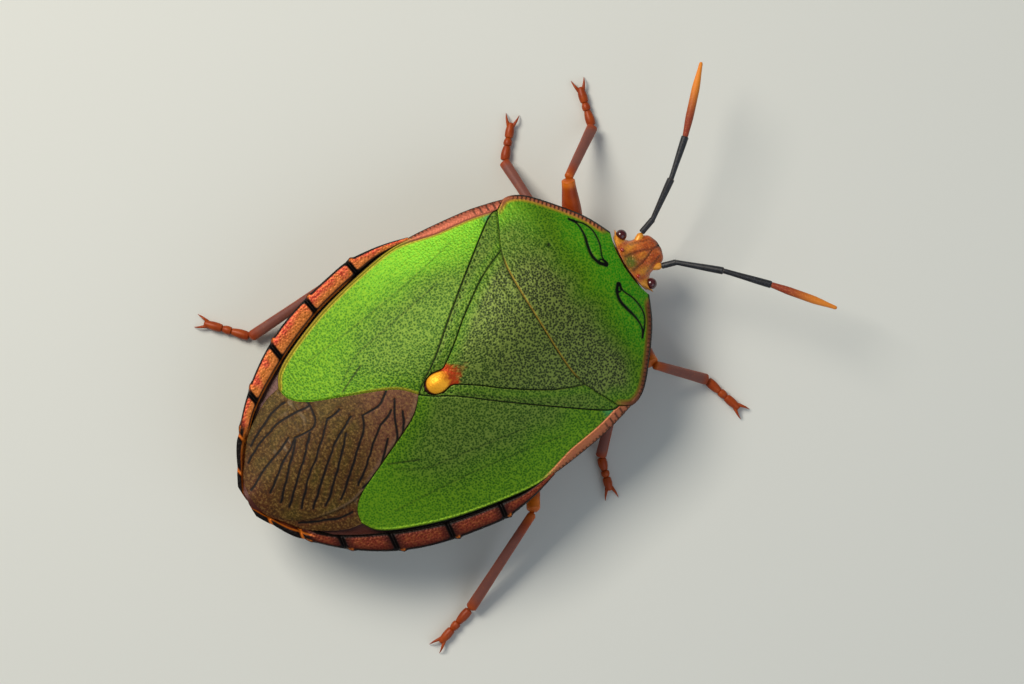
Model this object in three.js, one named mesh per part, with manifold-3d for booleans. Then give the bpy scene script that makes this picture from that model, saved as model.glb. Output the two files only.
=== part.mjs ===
// A metallic green giant shield bug standing on its six feet, life size, in millimetres.
//
// X runs to the insect's left, Y from head to tail and Z up, with the floor at zero. The pieces are
// drawn in a body frame whose Y is zero between the eyes, and the finished group is then moved so
// that its origin is under the middle of its outline.
//
// The back is one roof height over the plan. The shield behind the head, the scutellum and the wing
// covers are slabs cut from that roof along their own outlines, and thorax and abdomen lie under
// them. Pieces that touch in life keep JOINT between them.

import * as THREE from "three";
import { mergeVertices } from "three/addons/utils/BufferGeometryUtils.js";
import Module from "manifold-3d";

const wasm = await Module();
wasm.setup();

// Driving dimensions
const HEAD_FRONT = -1.45;
const TAIL = 28.6;
const JOINT = 0.3;
const PLATE = 0.5;
const MEMBRANE = 0.5;
const WAIST = 11.35;
const NECK = 1.3;
const VEINS = 12;
const VEIN_HEIGHT = 0.12;
const RIM_FRONT = 12.8;
const SEGMENT_EDGES = [11.6, 15.4, 18.8, 22.1, 24.8, 26.7, 27.9, 28.5];

// Height of the back along the middle and along its edge
const spine = through([
  [0.7, 5.95],
  [2.5, 7],
  [4.5, 7.95],
  [7.4, 8.6],
  [10, 8.75],
  [13, 8.5],
  [19, 7.6],
  [23, 6.95],
  [TAIL, 6.1],
]);
const rim = through([
  [0.7, 5.3],
  [3, 5.6],
  [5.5, 5.9],
  [12, 5.75],
  [TAIL, 5.6],
]);
const belly = through([
  [NECK, 3.45],
  [3, 2.9],
  [5, 2.4],
  [8, 2],
  [11.5, 1.65],
  [15, 1.5],
  [19, 1.7],
  [23, 2.35],
  [26, 2.95],
  [TAIL, 3.55],
]);

// Half-widths in plan of the shield with the folded wings, and of the abdomen's rim plates, from
// their inner to their outer edge
const roofHalf = through([
  [0.7, 2.35],
  [1.6, 4],
  [2.85, 5.7],
  [4.1, 7.05],
  [5, 7.5],
  [8, 8.15],
  [12, 8.55],
  [14, 8.45],
  [18, 7.65],
  [20, 7],
  [22, 6.15],
  [25, 4.35],
  [27.5, 2.2],
  [TAIL, 1.2],
]);
const marginHalf = through([
  [11.5, 8.6],
  [12.8, 8.97],
  [14, 9.2],
  [15.4, 9.32],
  [17, 9.1],
  [19, 8.68],
  [21, 8.05],
  [23, 7.05],
  [25, 5.6],
  [26.75, 3.8],
  [27.9, 2.1],
  [28.5, 0.95],
]);
const marginInner = through([
  [12.8, 8.68],
  [14, 8.62],
  [18, 7.9],
  [20, 7.25],
  [22, 6.4],
  [25, 4.7],
  [26.5, 3.25],
  [27.3, 2],
  [27.9, 1.15],
  [28.5, 0.2],
]);

// Smooth value through a few [station, value] pairs, level beyond the ends.
function through(pairs) {
  const at = pairs.map((pair) => pair[0]);
  const value = pairs.map((pair) => pair[1]);
  const last = at.length - 1;
  const slope = at.map((_, i) => {
    const a = Math.max(i - 1, 0);
    const b = Math.min(i + 1, last);
    return (value[b] - value[a]) / (at[b] - at[a]);
  });
  return (station) => {
    if (station <= at[0]) return value[0];
    if (station >= at[last]) return value[last];
    const i = at.findIndex((a) => a > station) - 1;
    const h = at[i + 1] - at[i];
    const t = (station - at[i]) / h;
    const s = 1 - t;
    const ends = value[i] * (1 + 2 * t) * s * s + value[i + 1] * (3 - 2 * t) * t * t;
    return ends + h * t * s * (slope[i] * s - slope[i + 1] * t);
  };
}

function ease(a, b, x) {
  return THREE.MathUtils.smoothstep(x, a, b);
}

function mix(a, b, t) {
  return a + (b - a) * t;
}

// Rounded hump of height 1 about a centre.
function hump(x, centre, width) {
  return Math.exp(-(((x - centre) / width) ** 2));
}

// Height of the back: domed across the middle and easing out level at the edge.
function roof(x, y) {
  const r = Math.min(Math.abs(x) / roofHalf(y), 1);
  const dome = 0.62 * (1 - r * r) + 0.19 * (1 + Math.cos(Math.PI * r));
  return mix(rim(y), spine(y), dome);
}

// Smooth plan line through a few points of the insect's left half.
function line(points) {
  const spline = new THREE.SplineCurve(points.map(([x, y]) => new THREE.Vector2(x, y)));
  return (t) => spline.getPointAt(THREE.MathUtils.clamp(t, 0, 1));
}

// The same line on the insect's right.
function flipped(plan) {
  return (t) => plan(t).multiply(new THREE.Vector2(-1, 1));
}

// A line from the right half through the middle to the left half.
function across(plan) {
  return (u) => (u < 0.5 ? flipped(plan)(1 - 2 * u) : plan(2 * u - 1));
}

function straight(a, b) {
  return (t) => a.clone().lerp(b, t);
}

const shieldSide = line([
  [2.3, 0.72],
  [3.9, 1.5],
  [5.7, 2.85],
  [7.05, 4.1],
  [7.5, 5.15],
  [7.1, 5.97],
]);
const shieldFront = line([
  [0, 1.15],
  [1.2, 1.04],
  [2.3, 0.72],
]);
const shieldBack = line([
  [0, 7.4],
  [3.3, 7.36],
  [4.85, 7.05],
  [6.2, 6.4],
  [7.1, 5.97],
]);
const scutellumFront = line([
  [0, 7.4],
  [3.3, 7.36],
  [4.85, 7.05],
]);
const scutellumSide = line([
  [4.85, 7.05],
  [4.05, 8.9],
  [2.6, 11.1],
  [1.5, 12.5],
  [0.74, 13.6],
  [0.58, 14],
  [0.66, 14.6],
  [0.52, 15.15],
  [0.25, 15.45],
]);
const clavusFront = line([
  [4.85, 7.05],
  [6.2, 6.4],
  [7.1, 5.97],
]);
const clavalSuture = line([
  [7.1, 5.97],
  [6.9, 6.75],
  [5, 9.35],
  [3, 11.95],
  [1.35, 14],
  [0.6, 15.2],
  [0, 16],
]);
const costalMargin = line([
  [7.62, 5.95],
  [8.15, 8],
  [8.55, 11.5],
  [8.45, 14],
  [7.65, 18],
  [6.6, 21],
  [5.75, 22.6],
  [4.9, 23.2],
]);
const apicalMargin = line([
  [0, 16],
  [1.05, 17.1],
  [2.3, 19.9],
  [3.2, 22],
  [4, 22.95],
  [4.9, 23.2],
]);
const membraneOuter = line([
  [4.9, 23.2],
  [4.6, 24.4],
  [3.2, 26.3],
  [1.5, 27.3],
]);
const membraneInner = line([
  [0, 16],
  [-1, 17.15],
  [-2.2, 19.85],
  [-2.95, 21.4],
]);
const membraneTip = line([
  [-2.95, 21.4],
  [-3.42, 23],
  [-3.06, 25],
  [-2.36, 26.2],
  [-1.2, 27.3],
  [0.2, 27.65],
  [1.5, 27.3],
]);

// Sheet spread between four plan lines. Inner and outer run backward, base and apex outward.
function spread(inner, outer, base, apex) {
  return (u, v) => {
    const sides = inner(v).lerp(outer(v), u);
    const ends = base(u).lerp(apex(u), v);
    const front = inner(0).lerp(outer(0), u);
    const back = inner(1).lerp(outer(1), u);
    return sides.add(ends).sub(front.lerp(back, v));
  };
}

// Share of a sheet given up at one side for half a joint, by the sheet's length that way. A slanting
// side is measured square to itself.
function inset(length, slant) {
  return Math.min(JOINT / 2 / (length * Math.max(slant, 0.4)), 0.35);
}

// The same sheet drawn in by half a joint on all four sides.
function drawnIn(sheet) {
  return (u, v) => {
    const wide = sheet(1, v).sub(sheet(0, v));
    const long = sheet(u, 1).sub(sheet(u, 0));
    const slant = Math.abs(wide.clone().normalize().cross(long.clone().normalize()));
    const du = inset(wide.length(), slant);
    const dv = inset(long.length(), slant);
    return sheet(mix(du, 1 - du, u), mix(dv, 1 - dv, v));
  };
}

// Closed geometry from points and triangles, turned the right way out.
function closed(points, triangles) {
  const corner = (i) => new THREE.Vector3().fromArray(points, 3 * i);
  let volume = 0;
  for (let i = 0; i < triangles.length; i += 3) {
    const [a, b, c] = triangles.slice(i, i + 3).map(corner);
    volume += a.dot(b.cross(c));
  }
  const geometry = new THREE.BufferGeometry();
  geometry.setAttribute("position", new THREE.Float32BufferAttribute(points, 3));
  return geometry.setIndex(volume > 0 ? triangles : triangles.slice().reverse());
}

// Closed slab on a plane grid. place(u, v, top) gives a corner of the upper face for top 1 and of the
// lower for top 0. Both faces are split into triangles alike.
function slab(nu, nv, place) {
  const grid = new THREE.PlaneGeometry(1, 1, nu, nv);
  const corners = grid.attributes.position;
  const points = [];
  for (const top of [1, 0])
    for (let i = 0; i < corners.count; i++)
      points.push(...place(corners.getX(i) + 0.5, corners.getY(i) + 0.5, top));
  const upper = Array.from(grid.index.array);
  const lower = upper.map((i) => i + corners.count).reverse();
  const row = nu + 1;
  const border = [];
  for (let i = 0; i < nu; i++) border.push(i);
  for (let j = 0; j < nv; j++) border.push(nu + j * row);
  for (let i = nu; i > 0; i--) border.push(nv * row + i);
  for (let j = nv; j > 0; j--) border.push(j * row);
  const walls = border.flatMap((a, i) => {
    const b = border[(i + 1) % border.length];
    return [a, b, a + corners.count, b, b + corners.count, a + corners.count];
  });
  return closed(points, [...upper, ...lower, ...walls]);
}

// Closed tube on a cylinder grid. place(angle, along, wall) gives a point, with along from 0 to 1
// and wall 1 on the side and 0 at the middle of each end.
function tube(sides, steps, place) {
  const grid = new THREE.CylinderGeometry(1, 1, 1, sides, steps);
  grid.deleteAttribute("normal");
  grid.deleteAttribute("uv");
  const merged = mergeVertices(grid, 1e-5);
  const corners = merged.attributes.position;
  const points = [];
  for (let i = 0; i < corners.count; i++) {
    const wall = Math.hypot(corners.getX(i), corners.getZ(i)) > 0.5 ? 1 : 0;
    const angle = Math.atan2(corners.getZ(i), corners.getX(i));
    points.push(...place(angle, corners.getY(i) + 0.5, wall));
  }
  return closed(points, Array.from(merged.index.array));
}

function solidOf(geometry) {
  const bare = geometry.clone();
  bare.deleteAttribute("normal");
  bare.deleteAttribute("uv");
  const merged = mergeVertices(bare, 1e-5);
  const vertProperties = merged.attributes.position.array;
  const triVerts = new Uint32Array(merged.index.array);
  return new wasm.Manifold(new wasm.Mesh({ numProp: 3, vertProperties, triVerts }));
}

// Geometry of the largest closed body of a solid.
function geometryOf(solid) {
  const bodies = solid.decompose().sort((a, b) => b.volume() - a.volume());
  const mesh = bodies[0].getMesh();
  const geometry = new THREE.BufferGeometry();
  geometry.setAttribute("position", new THREE.BufferAttribute(mesh.vertProperties, 3));
  return geometry.setIndex(new THREE.BufferAttribute(mesh.triVerts, 1));
}

function fused(first, ...others) {
  return geometryOf(others.reduce((whole, next) => whole.add(solidOf(next)), solidOf(first)));
}

function without(first, ...others) {
  return geometryOf(others.reduce((whole, next) => whole.subtract(solidOf(next)), solidOf(first)));
}

function mirrored(geometry) {
  const points = Array.from(geometry.attributes.position.array, (c, i) => (i % 3 ? c : -c));
  return closed(points, Array.from(geometry.index.array));
}

function ball(x, y, z, halves) {
  return new THREE.SphereGeometry(1, 12, 8).scale(...halves).translate(x, y, z);
}

// Round rod from one point to another. radius(t) gives its thickness along the way, bow lifts its
// middle, and lowest is a level that it never passes.
function rod(from, to, sides, steps, radius, bow = 0, lowest = 0) {
  const a = new THREE.Vector3(...from);
  const b = new THREE.Vector3(...to);
  const along = b.clone().sub(a).normalize();
  const level = new THREE.Vector3(-along.y, along.x, 0).normalize();
  const up = along.clone().cross(level).negate();
  up.multiplyScalar(Math.sign(up.z));
  return tube(sides, steps, (angle, t, wall) => {
    const r = radius(t) * wall;
    const p = a.clone().lerp(b, t);
    p.addScaledVector(level, r * Math.cos(angle));
    p.addScaledVector(up, r * Math.sin(angle));
    p.z = Math.max(p.z + bow * 4 * t * (1 - t), lowest);
    return p.toArray();
  });
}

const bug = new THREE.Group();

const finishes = {
  green: { color: 0x3f9a1c, roughness: 0.35, metalness: 0.55 },
  coppery: { color: 0xb8502f, roughness: 0.4, metalness: 0.5 },
  membrane: { color: 0x55402a, roughness: 0.35, metalness: 0.35 },
  rust: { color: 0x8c3d1b, roughness: 0.4, metalness: 0.2 },
  head: { color: 0xb4602a, roughness: 0.4, metalness: 0.4 },
  eye: { color: 0x5a1216, roughness: 0.15, metalness: 0 },
  black: { color: 0x23211f, roughness: 0.4, metalness: 0 },
  orange: { color: 0xd0712c, roughness: 0.5, metalness: 0 },
};

function add(name, geometry, finish) {
  const mesh = new THREE.Mesh(geometry, new THREE.MeshStandardMaterial(finishes[finish]));
  mesh.name = name;
  bug.add(mesh);
}

// A piece of the insect's left half and its mirror image.
function addPair(name, geometry, finish) {
  add(`${name}_left`, geometry, finish);
  add(`${name}_right`, mirrored(geometry), finish);
}

// Slab of the back over a plan sheet, with its upper face raised by relief(x, y, u, v).
function plate(nu, nv, sheet, thickness, relief) {
  return slab(nu, nv, (u, v, top) => {
    const p = sheet(u, v);
    const z = roof(p.x, p.y);
    return [p.x, p.y, top ? z + relief(p.x, p.y, u, v) : z - thickness];
  });
}

// Shield behind the head, with a lip along each side and the two low calli near its front
function shield() {
  const sheet = spread(flipped(shieldSide), shieldSide, across(shieldFront), across(shieldBack));
  return plate(22, 12, drawnIn(sheet), PLATE, (x, y, u) => {
    const lip = 0.12 * ease(0.4, 0.5, Math.abs(u - 0.5));
    return lip + 0.14 * hump(Math.abs(x), 2.2, 1.3) * hump(y, 2.05, 0.5);
  });
}

// Scutellum, ending in a raised round tongue
function scutellum() {
  const end = line([
    [0, 15.5],
    [0.25, 15.45],
  ]);
  const sheet = spread(
    flipped(scutellumSide), scutellumSide, across(scutellumFront), across(end));
  return plate(14, 16, drawnIn(sheet), PLATE, (x, y) => 0.2 * hump(x, 0, 0.5) * ease(13.4, 14.1, y));
}

// Strip of the wing cover beside the scutellum
function clavus() {
  const inner = (t) => scutellumSide(0.8 * t);
  const outer = (t) => clavalSuture(0.84 * t);
  const sheet = spread(inner, outer, clavusFront, straight(inner(1), outer(1)));
  return plate(4, 14, drawnIn(sheet), PLATE, (x, y, u) => 0.06 * hump(u, 0.5, 0.3));
}

// Leathery fore part of the wing cover, with a rolled outer edge and two low veins
function corium() {
  const base = straight(clavalSuture(0), costalMargin(0));
  const sheet = spread(clavalSuture, costalMargin, base, apicalMargin);
  return plate(12, 14, drawnIn(sheet), PLATE, (x, y, u, v) => {
    const edge = 0.12 * ease(0.85, 0.95, u);
    const veins = 0.09 * (hump(u, 1 / 3, 0.05) + hump(u, 2 / 3, 0.05));
    return edge + veins * ease(0.1, 0.3, v) * (1 - ease(0.8, 0.95, v));
  });
}

// Hind part of the wing: an arc vein behind a row of cells, and long veins from it to the free edge
function membrane(depth, steps) {
  const sheet = drawnIn(spread(membraneInner, membraneOuter, apicalMargin, membraneTip));
  const arc = Math.round(0.2 * steps) / steps;
  return slab(2 * VEINS, steps, (u, v, top) => {
    const p = sheet(u, v);
    const z = roof(p.x, p.y) - depth;
    const onVein = Math.round(2 * VEINS * u) % 2;
    const onArc = Math.abs(v - arc) < 0.01 ? 1 : 0;
    const rise = v > arc + 0.01 ? onVein : onArc;
    return [p.x, p.y, top ? z + VEIN_HEIGHT * rise : z - MEMBRANE];
  });
}

// Level of the body's upper side under the wing covers, and lower still where two membranes lie.
function underWings(x, y) {
  const folded = PLATE + JOINT;
  const crossed = MEMBRANE + JOINT;
  const reach = ease(13.8, 15, y) * (1 - ease(1.6, 3.4, Math.abs(x) - apexHalf(y)));
  return roof(x, y) - folded - 1.1 * crossed * reach;
}

const apexHalf = through([
  [15.5, 0.3],
  [17.1, 1.05],
  [19.9, 2.3],
  [22, 3.2],
  [23.2, 4.9],
  [24.4, 4.6],
  [26.5, 3.2],
  [TAIL, 1.7],
]);

const FLANK_DROP = 1.1;
const BELLY_POWER = 1.7;

// Height where back and belly meet, which sinks at the tail to make room for the crossed membranes.
function flank(y) {
  return rim(y) - FLANK_DROP - 0.6 * ease(19, 23.5, y);
}

// Ring point of the trunk at a station, by angle round it from the insect's left over the top.
function trunk(half, y, angle, belt) {
  const c = Math.cos(angle);
  const x = half * c;
  if (Math.sin(angle) > 1e-6) return [x, y, mix(flank(y), underWings(x, y), ease(1, 0.9, Math.abs(c)))];
  const low = belly(y) + belt;
  return [x, y, mix(low, flank(y), Math.abs(c) ** BELLY_POWER)];
}

// Height of the trunk's under side at a point.
function under(half, x, y) {
  return mix(belly(y), flank(y), Math.min(Math.abs(x) / half, 1) ** BELLY_POWER);
}

// Half-width of the thorax, which draws in under the shield towards the neck
const thoraxHalf = (y) => roofHalf(y) - mix(1.2, 0.45, ease(NECK, 3.2, y));

function thorax() {
  const from = NECK;
  const to = WAIST - JOINT / 2;
  return tube(20, 12, (angle, along, wall) => {
    const y = mix(from, to, along);
    const [x, , z] = trunk(thoraxHalf(y), y, angle, 0);
    const shoulder = -0.08 * x * x * (1 - along) ** 8;
    return wall ? [x, y + shoulder, z] : [0, y, mix(flank(y), belly(y), 0.1)];
  });
}

// Rows along the abdomen: three within each segment and one in the groove behind it.
function segmentRows(from) {
  const rows = [];
  SEGMENT_EDGES.slice(1).forEach((edge, i) => {
    const start = Math.max(SEGMENT_EDGES[i], from);
    const groove = Math.min(0.3, (edge - start) / 4);
    rows.push([start, 0], [start + groove, 1], [edge - groove, 1]);
  });
  rows.push([SEGMENT_EDGES.at(-1), 0]);
  return rows;
}

function abdomen() {
  const rows = segmentRows(WAIST + JOINT / 2);
  const steps = rows.length - 1;
  return tube(20, steps, (angle, along, wall) => {
    const [y, raised] = rows[Math.round(along * steps)];
    const half = marginHalf(y) - 0.3;
    const [x, , z] = trunk(half, y, angle, raised ? 0 : 0.1);
    return wall ? [x, y, z] : [0, y, mix(flank(y), belly(y), 0.1)];
  });
}

// Flattened rim of the abdomen: a row of raised plates, each with a tooth at its hind outer corner
function connexivum() {
  const rows = segmentRows(RIM_FRONT);
  const steps = rows.length - 1;
  return slab(4, steps, (u, v, top) => {
    const row = Math.round(v * steps);
    const [y, raised] = rows[row];
    const tooth = row % 3 === 2 && y < 27 ? 0.22 : 0;
    const x = mix(marginInner(y), marginHalf(y) + tooth, u);
    const plateRise = raised ? 0.16 * (1 - (2 * u - 1) ** 4) : 0;
    return [x, y, top ? rim(y) + plateRise : mix(rim(y) - PLATE, flank(y) + JOINT, u)];
  });
}

// Head: a low wedge with a ridge down its middle, and a knob in front of each eye for the antenna
const headHalf = through([
  [HEAD_FRONT, 0.45],
  [-1.25, 0.82],
  [-0.9, 1.05],
  [0, 1.25],
  [0.85, 1.75],
]);
const headTop = through([
  [HEAD_FRONT, 4.5],
  [-0.9, 4.95],
  [0, 5.5],
  [0.85, 5.9],
]);
const headLow = through([
  [HEAD_FRONT, 4.15],
  [-0.9, 3.65],
  [0, 3.4],
  [0.85, 3.35],
]);
const EYE = { x: 1.88, y: 0.28, z: 5.05, r: 0.42 };
const ANTENNA_ROOT = { left: [1.26, -1.06, 4.55], right: [-1.2, -1.02, 4.55] };

function head() {
  const steps = 8;
  const skull = tube(16, steps, (angle, along, wall) => {
    const y = mix(HEAD_FRONT, 0.85, along ** 0.8);
    const half = headHalf(y);
    const x = half * Math.cos(angle) * wall;
    const middle = mix(headLow(y), headTop(y), 0.45);
    const edge = angle > 0 ? headTop(y) : headLow(y);
    const ridge = angle > 0 ? 0.08 * hump(x, 0, 0.3) : 0;
    const z = mix(middle, edge + ridge, Math.abs(Math.sin(angle)) ** 0.8 * wall);
    const neck = 0.08 * x * x * ease(0.6, 1, along);
    return [x, y - neck, z];
  });
  const knobs = [1, -1].map((side) =>
    rod([0.7 * side, 0, 4.6], [1.14 * side, -0.76, 4.55], 8, 2, () => 0.27));
  const room = EYE.r + JOINT - 0.02;
  const sockets = [1, -1].map((side) =>
    ball(EYE.x * side, EYE.y, EYE.z, [room, room, room]));
  return without(fused(skull, ...knobs), ...sockets);
}

function eye() {
  return ball(EYE.x, EYE.y, EYE.z, [EYE.r, EYE.r, EYE.r]);
}

function rostrum() {
  return rod([0, -0.95, 3], [0, 2.7, 2.25], 8, 4, (t) => mix(0.3, 0.2, t));
}

// Antennae: four rods each, out to the tips
const antennae = {
  left: [
    ANTENNA_ROOT.left,
    [1.55, -1.92, 4.75],
    [3.08, -4.21, 5.2],
    [4.84, -6.32, 5.35],
    [8.21, -9.6, 5],
  ],
  right: [
    ANTENNA_ROOT.right,
    [-1.45, -1.75, 4.75],
    [-3.45, -3.95, 5.2],
    [-5.74, -6, 5.35],
    [-9.1, -8.68, 5],
  ],
};
const segmentRadius = [
  () => 0.26,
  (t) => mix(0.21, 0.27, t),
  (t) => mix(0.21, 0.26, t),
  (t) => mix(0.2, 0.3, ease(0, 0.35, t)) - 0.2 * ease(0.5, 1, t),
];

function addAntenna(side, joints) {
  for (let i = 0; i < 4; i++) {
    const from = new THREE.Vector3(...joints[i]);
    const to = new THREE.Vector3(...joints[i + 1]);
    const step = to.clone().sub(from).setLength(JOINT / 2);
    from.add(step);
    if (i < 3) to.sub(step);
    const geometry = rod(from.toArray(), to.toArray(), 8, i ? 5 : 2, segmentRadius[i]);
    add(`antenna_${side}_${i + 1}`, geometry, i < 3 ? "black" : "orange");
  }
}

// Legs: hip, knee, ankle and the end of the foot
const HIP_X = 2.45;
const legs = {
  left_front: { hipY: 3, knee: [6.5, 1.15, 4.05], ankle: [8.5, -1.95, 0.62], toe: [11, -2.62] },
  left_middle: { hipY: 6, knee: [5.35, 3.86, 3], ankle: [9.55, 3.9, 0.62], toe: [11.4, 2.25] },
  left_hind: { hipY: 9.6, knee: [8.85, 15.4, 3.1], ankle: [8.65, 23.2, 0.62], toe: [10.9, 25.2] },
  right_front: { hipY: 3, knee: [-6.1, 2.75, 3.9], ankle: [-8.7, 0.35, 0.62], toe: [-11.3, -0.42] },
  right_middle: { hipY: 6, knee: [-6.3, 5.5, 3], ankle: [-9.3, 8.5, 0.62], toe: [-11.4, 9.15] },
  right_hind: { hipY: 9.6, knee: [-9.95, 13.9, 3.9], ankle: [-13.1, 20.5, 0.62], toe: [-13.9, 23.2] },
};

// Thickness of a limb that narrows to a small round end at each joint.
function limb(thickest, start, end) {
  return (t) => {
    const swell = mix(start, end, t) + (thickest - mix(start, end, t)) * Math.sin(Math.PI * t) ** 0.7;
    return Math.max(swell * Math.min(1, 0.5 + 7 * Math.min(t, 1 - t)), 0.13);
  };
}

// A foot of three pads lying on the floor, with two claws. Its sole is flat.
function foot(ankle, toe) {
  const a = new THREE.Vector2(ankle[0], ankle[1]);
  const b = new THREE.Vector2(...toe);
  const ahead = b.clone().sub(a).normalize();
  const aside = new THREE.Vector2(-ahead.y, ahead.x);
  a.addScaledVector(ahead, JOINT);
  const pads = [0, 0.08, 0.3, 0.38, 0.46, 0.66, 0.74, 0.82, 1];
  const widths = [0.2, 0.28, 0.32, 0.26, 0.29, 0.31, 0.24, 0.3, 0.26];
  const steps = pads.length - 1;
  const pad = tube(8, steps, (angle, along, wall) => {
    const i = Math.round(along * steps);
    const p = a.clone().lerp(b, pads[i]);
    p.addScaledVector(aside, widths[i] * Math.cos(angle) * wall);
    const z = 0.26 + 1.2 * widths[i] * Math.sin(angle) * wall;
    return [p.x, p.y, Math.sin(angle) * wall < -0.5 ? 0 : z];
  });
  const claws = [1, -1].map((side) => {
    const root = b.clone().addScaledVector(aside, 0.12 * side).addScaledVector(ahead, -0.25);
    const tip = b.clone().addScaledVector(aside, 0.42 * side).addScaledVector(ahead, 0.6);
    return rod([root.x, root.y, 0.3], [tip.x, tip.y, 0.08], 6, 3, (t) => mix(0.14, 0.03, t), 0.14);
  });
  return fused(pad, ...claws);
}

function addLeg(name, { hipY, knee, ankle, toe }) {
  const side = Math.sign(knee[0]);
  const roof = under(thoraxHalf(hipY), HIP_X, hipY);
  const socket = [(HIP_X - 0.85) * side, hipY, roof - JOINT - 0.72];
  const hip = [HIP_X * side, hipY, roof - JOINT - 1];
  add(`coxa_${name}`, rod(socket, hip, 10, 4, limb(0.8, 0.8, 0.6)), "rust");
  const from = new THREE.Vector3(...hip);
  const bend = new THREE.Vector3(...knee);
  const to = new THREE.Vector3(...ankle);
  const thigh = bend.clone().sub(from).normalize();
  const shin = to.clone().sub(bend).normalize();
  const thighFrom = from.addScaledVector(thigh, 1.6 * JOINT).toArray();
  const thighTo = bend.clone().addScaledVector(thigh, -JOINT).toArray();
  add(`femur_${name}`, rod(thighFrom, thighTo, 10, 6, limb(0.6, 0.4, 0.5)), "rust");
  const shinFrom = bend.clone().addScaledVector(shin, JOINT).toArray();
  add(`tibia_${name}`, rod(shinFrom, to.toArray(), 8, 6, limb(0.42, 0.38, 0.44)), "rust");
  add(`tarsus_${name}`, foot(ankle, toe), "rust");
}

add("head", head(), "head");
addPair("eye", eye(), "eye");
add("rostrum", rostrum(), "rust");
add("pronotum", shield(), "green");
add("scutellum", scutellum(), "green");
addPair("clavus", clavus(), "green");
addPair("corium", corium(), "green");
add("membrane_left", membrane(0, 14), "membrane");
add("membrane_right", mirrored(membrane(MEMBRANE + JOINT + 0.1, 10)), "membrane");
add("thorax", thorax(), "coppery");
add("abdomen", abdomen(), "coppery");
addPair("connexivum", connexivum(), "coppery");
for (const [side, joints] of Object.entries(antennae)) addAntenna(side, joints);
for (const [name, leg] of Object.entries(legs)) addLeg(name, leg);

// Move the group so that its origin is on the floor under the middle of its outline.
const outline = new THREE.Box3().setFromObject(bug);
const middle = outline.getCenter(new THREE.Vector3());
bug.position.set(-middle.x, -middle.y, -outline.min.z);

export default bug;
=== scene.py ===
"""A metallic green giant shield bug, life size, standing on a pale floor and seen from straight above.

Lengths are worked out in millimetres in the insect's own frame: X to its left, Y from head to tail
with zero between the eyes, Z up from the floor. The last step of every piece turns them into metres
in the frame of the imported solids. Every shape is a numpy surface: a sheet spread between plan lines
and laid on the height of the back, or a round profile carried along a path.
"""

import math

import bpy
import numpy as np
from mathutils import Matrix, Vector


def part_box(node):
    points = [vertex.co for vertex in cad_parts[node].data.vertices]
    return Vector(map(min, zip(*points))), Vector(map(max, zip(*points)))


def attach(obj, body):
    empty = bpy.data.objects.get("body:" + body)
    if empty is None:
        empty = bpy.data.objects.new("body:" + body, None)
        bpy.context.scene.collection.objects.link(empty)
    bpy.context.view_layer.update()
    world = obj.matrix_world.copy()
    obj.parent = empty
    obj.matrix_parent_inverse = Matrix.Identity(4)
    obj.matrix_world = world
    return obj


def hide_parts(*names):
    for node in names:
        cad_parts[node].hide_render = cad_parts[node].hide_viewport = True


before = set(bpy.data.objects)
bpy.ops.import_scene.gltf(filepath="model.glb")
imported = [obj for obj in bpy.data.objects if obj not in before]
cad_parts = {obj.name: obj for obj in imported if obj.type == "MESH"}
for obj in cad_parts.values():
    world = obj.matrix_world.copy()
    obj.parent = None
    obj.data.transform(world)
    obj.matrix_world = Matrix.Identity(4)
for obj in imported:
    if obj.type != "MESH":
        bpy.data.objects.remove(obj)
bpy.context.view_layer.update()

MM = 0.001
# Front of the abdomen's solid and of the rim plates, and the edges of the body's segments
ABDOMEN_FRONT = 11.6
RIM_FRONT = 11.5
SEGMENT_EDGES = [11.6, 15.4, 18.8, 22.1, 24.8, 26.7, 27.9, 28.5]
# Thickness of a back plate, and how far the top of the trunk lies below the back
SHELL = 0.35
TRUNK_DROP = 0.42
# Radius of the rounded edge of a plate, and depth of its pits
EDGE_ROLL = 0.1
PIT_DEPTH = 0.016

# Place of the insect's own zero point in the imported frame, found from two of its solids
shield_low, shield_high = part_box("pronotum")
abdomen_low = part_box("abdomen")[0]
ORIGIN = np.array([(shield_low[0] + shield_high[0]) / 2, abdomen_low[1] - ABDOMEN_FRONT * MM, 0.0])


# Numbers and curves


def through(pairs):
    """Smooth value through [station, value] pairs, level beyond the ends: cubic pieces whose slope
    at each pair is that of the line between its neighbours."""
    at, value = np.array(pairs, float).T
    last = len(at) - 1
    before = np.maximum(np.arange(last + 1) - 1, 0)
    after = np.minimum(np.arange(last + 1) + 1, last)
    slope = (value[after] - value[before]) / (at[after] - at[before])

    def value_at(station):
        s = np.clip(station, at[0], at[last])
        i = np.clip(np.searchsorted(at, s, side="right") - 1, 0, last - 1)
        h = at[i + 1] - at[i]
        t = (s - at[i]) / h
        r = 1 - t
        ends = value[i] * (1 + 2 * t) * r * r + value[i + 1] * (3 - 2 * t) * t * t
        return ends + h * t * r * (slope[i] * r - slope[i + 1] * t)

    return value_at


def ease(a, b, x):
    """Smooth step from 0 at a to 1 at b."""
    t = np.clip((x - a) / (b - a), 0, 1)
    return t * t * (3 - 2 * t)


def mix(a, b, t):
    """Value a share t of the way from a to b."""
    return a + (b - a) * t


def hump(x, centre, width):
    """Rounded hump of height 1 about a centre."""
    return np.exp(-(((x - centre) / width) ** 2))


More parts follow.
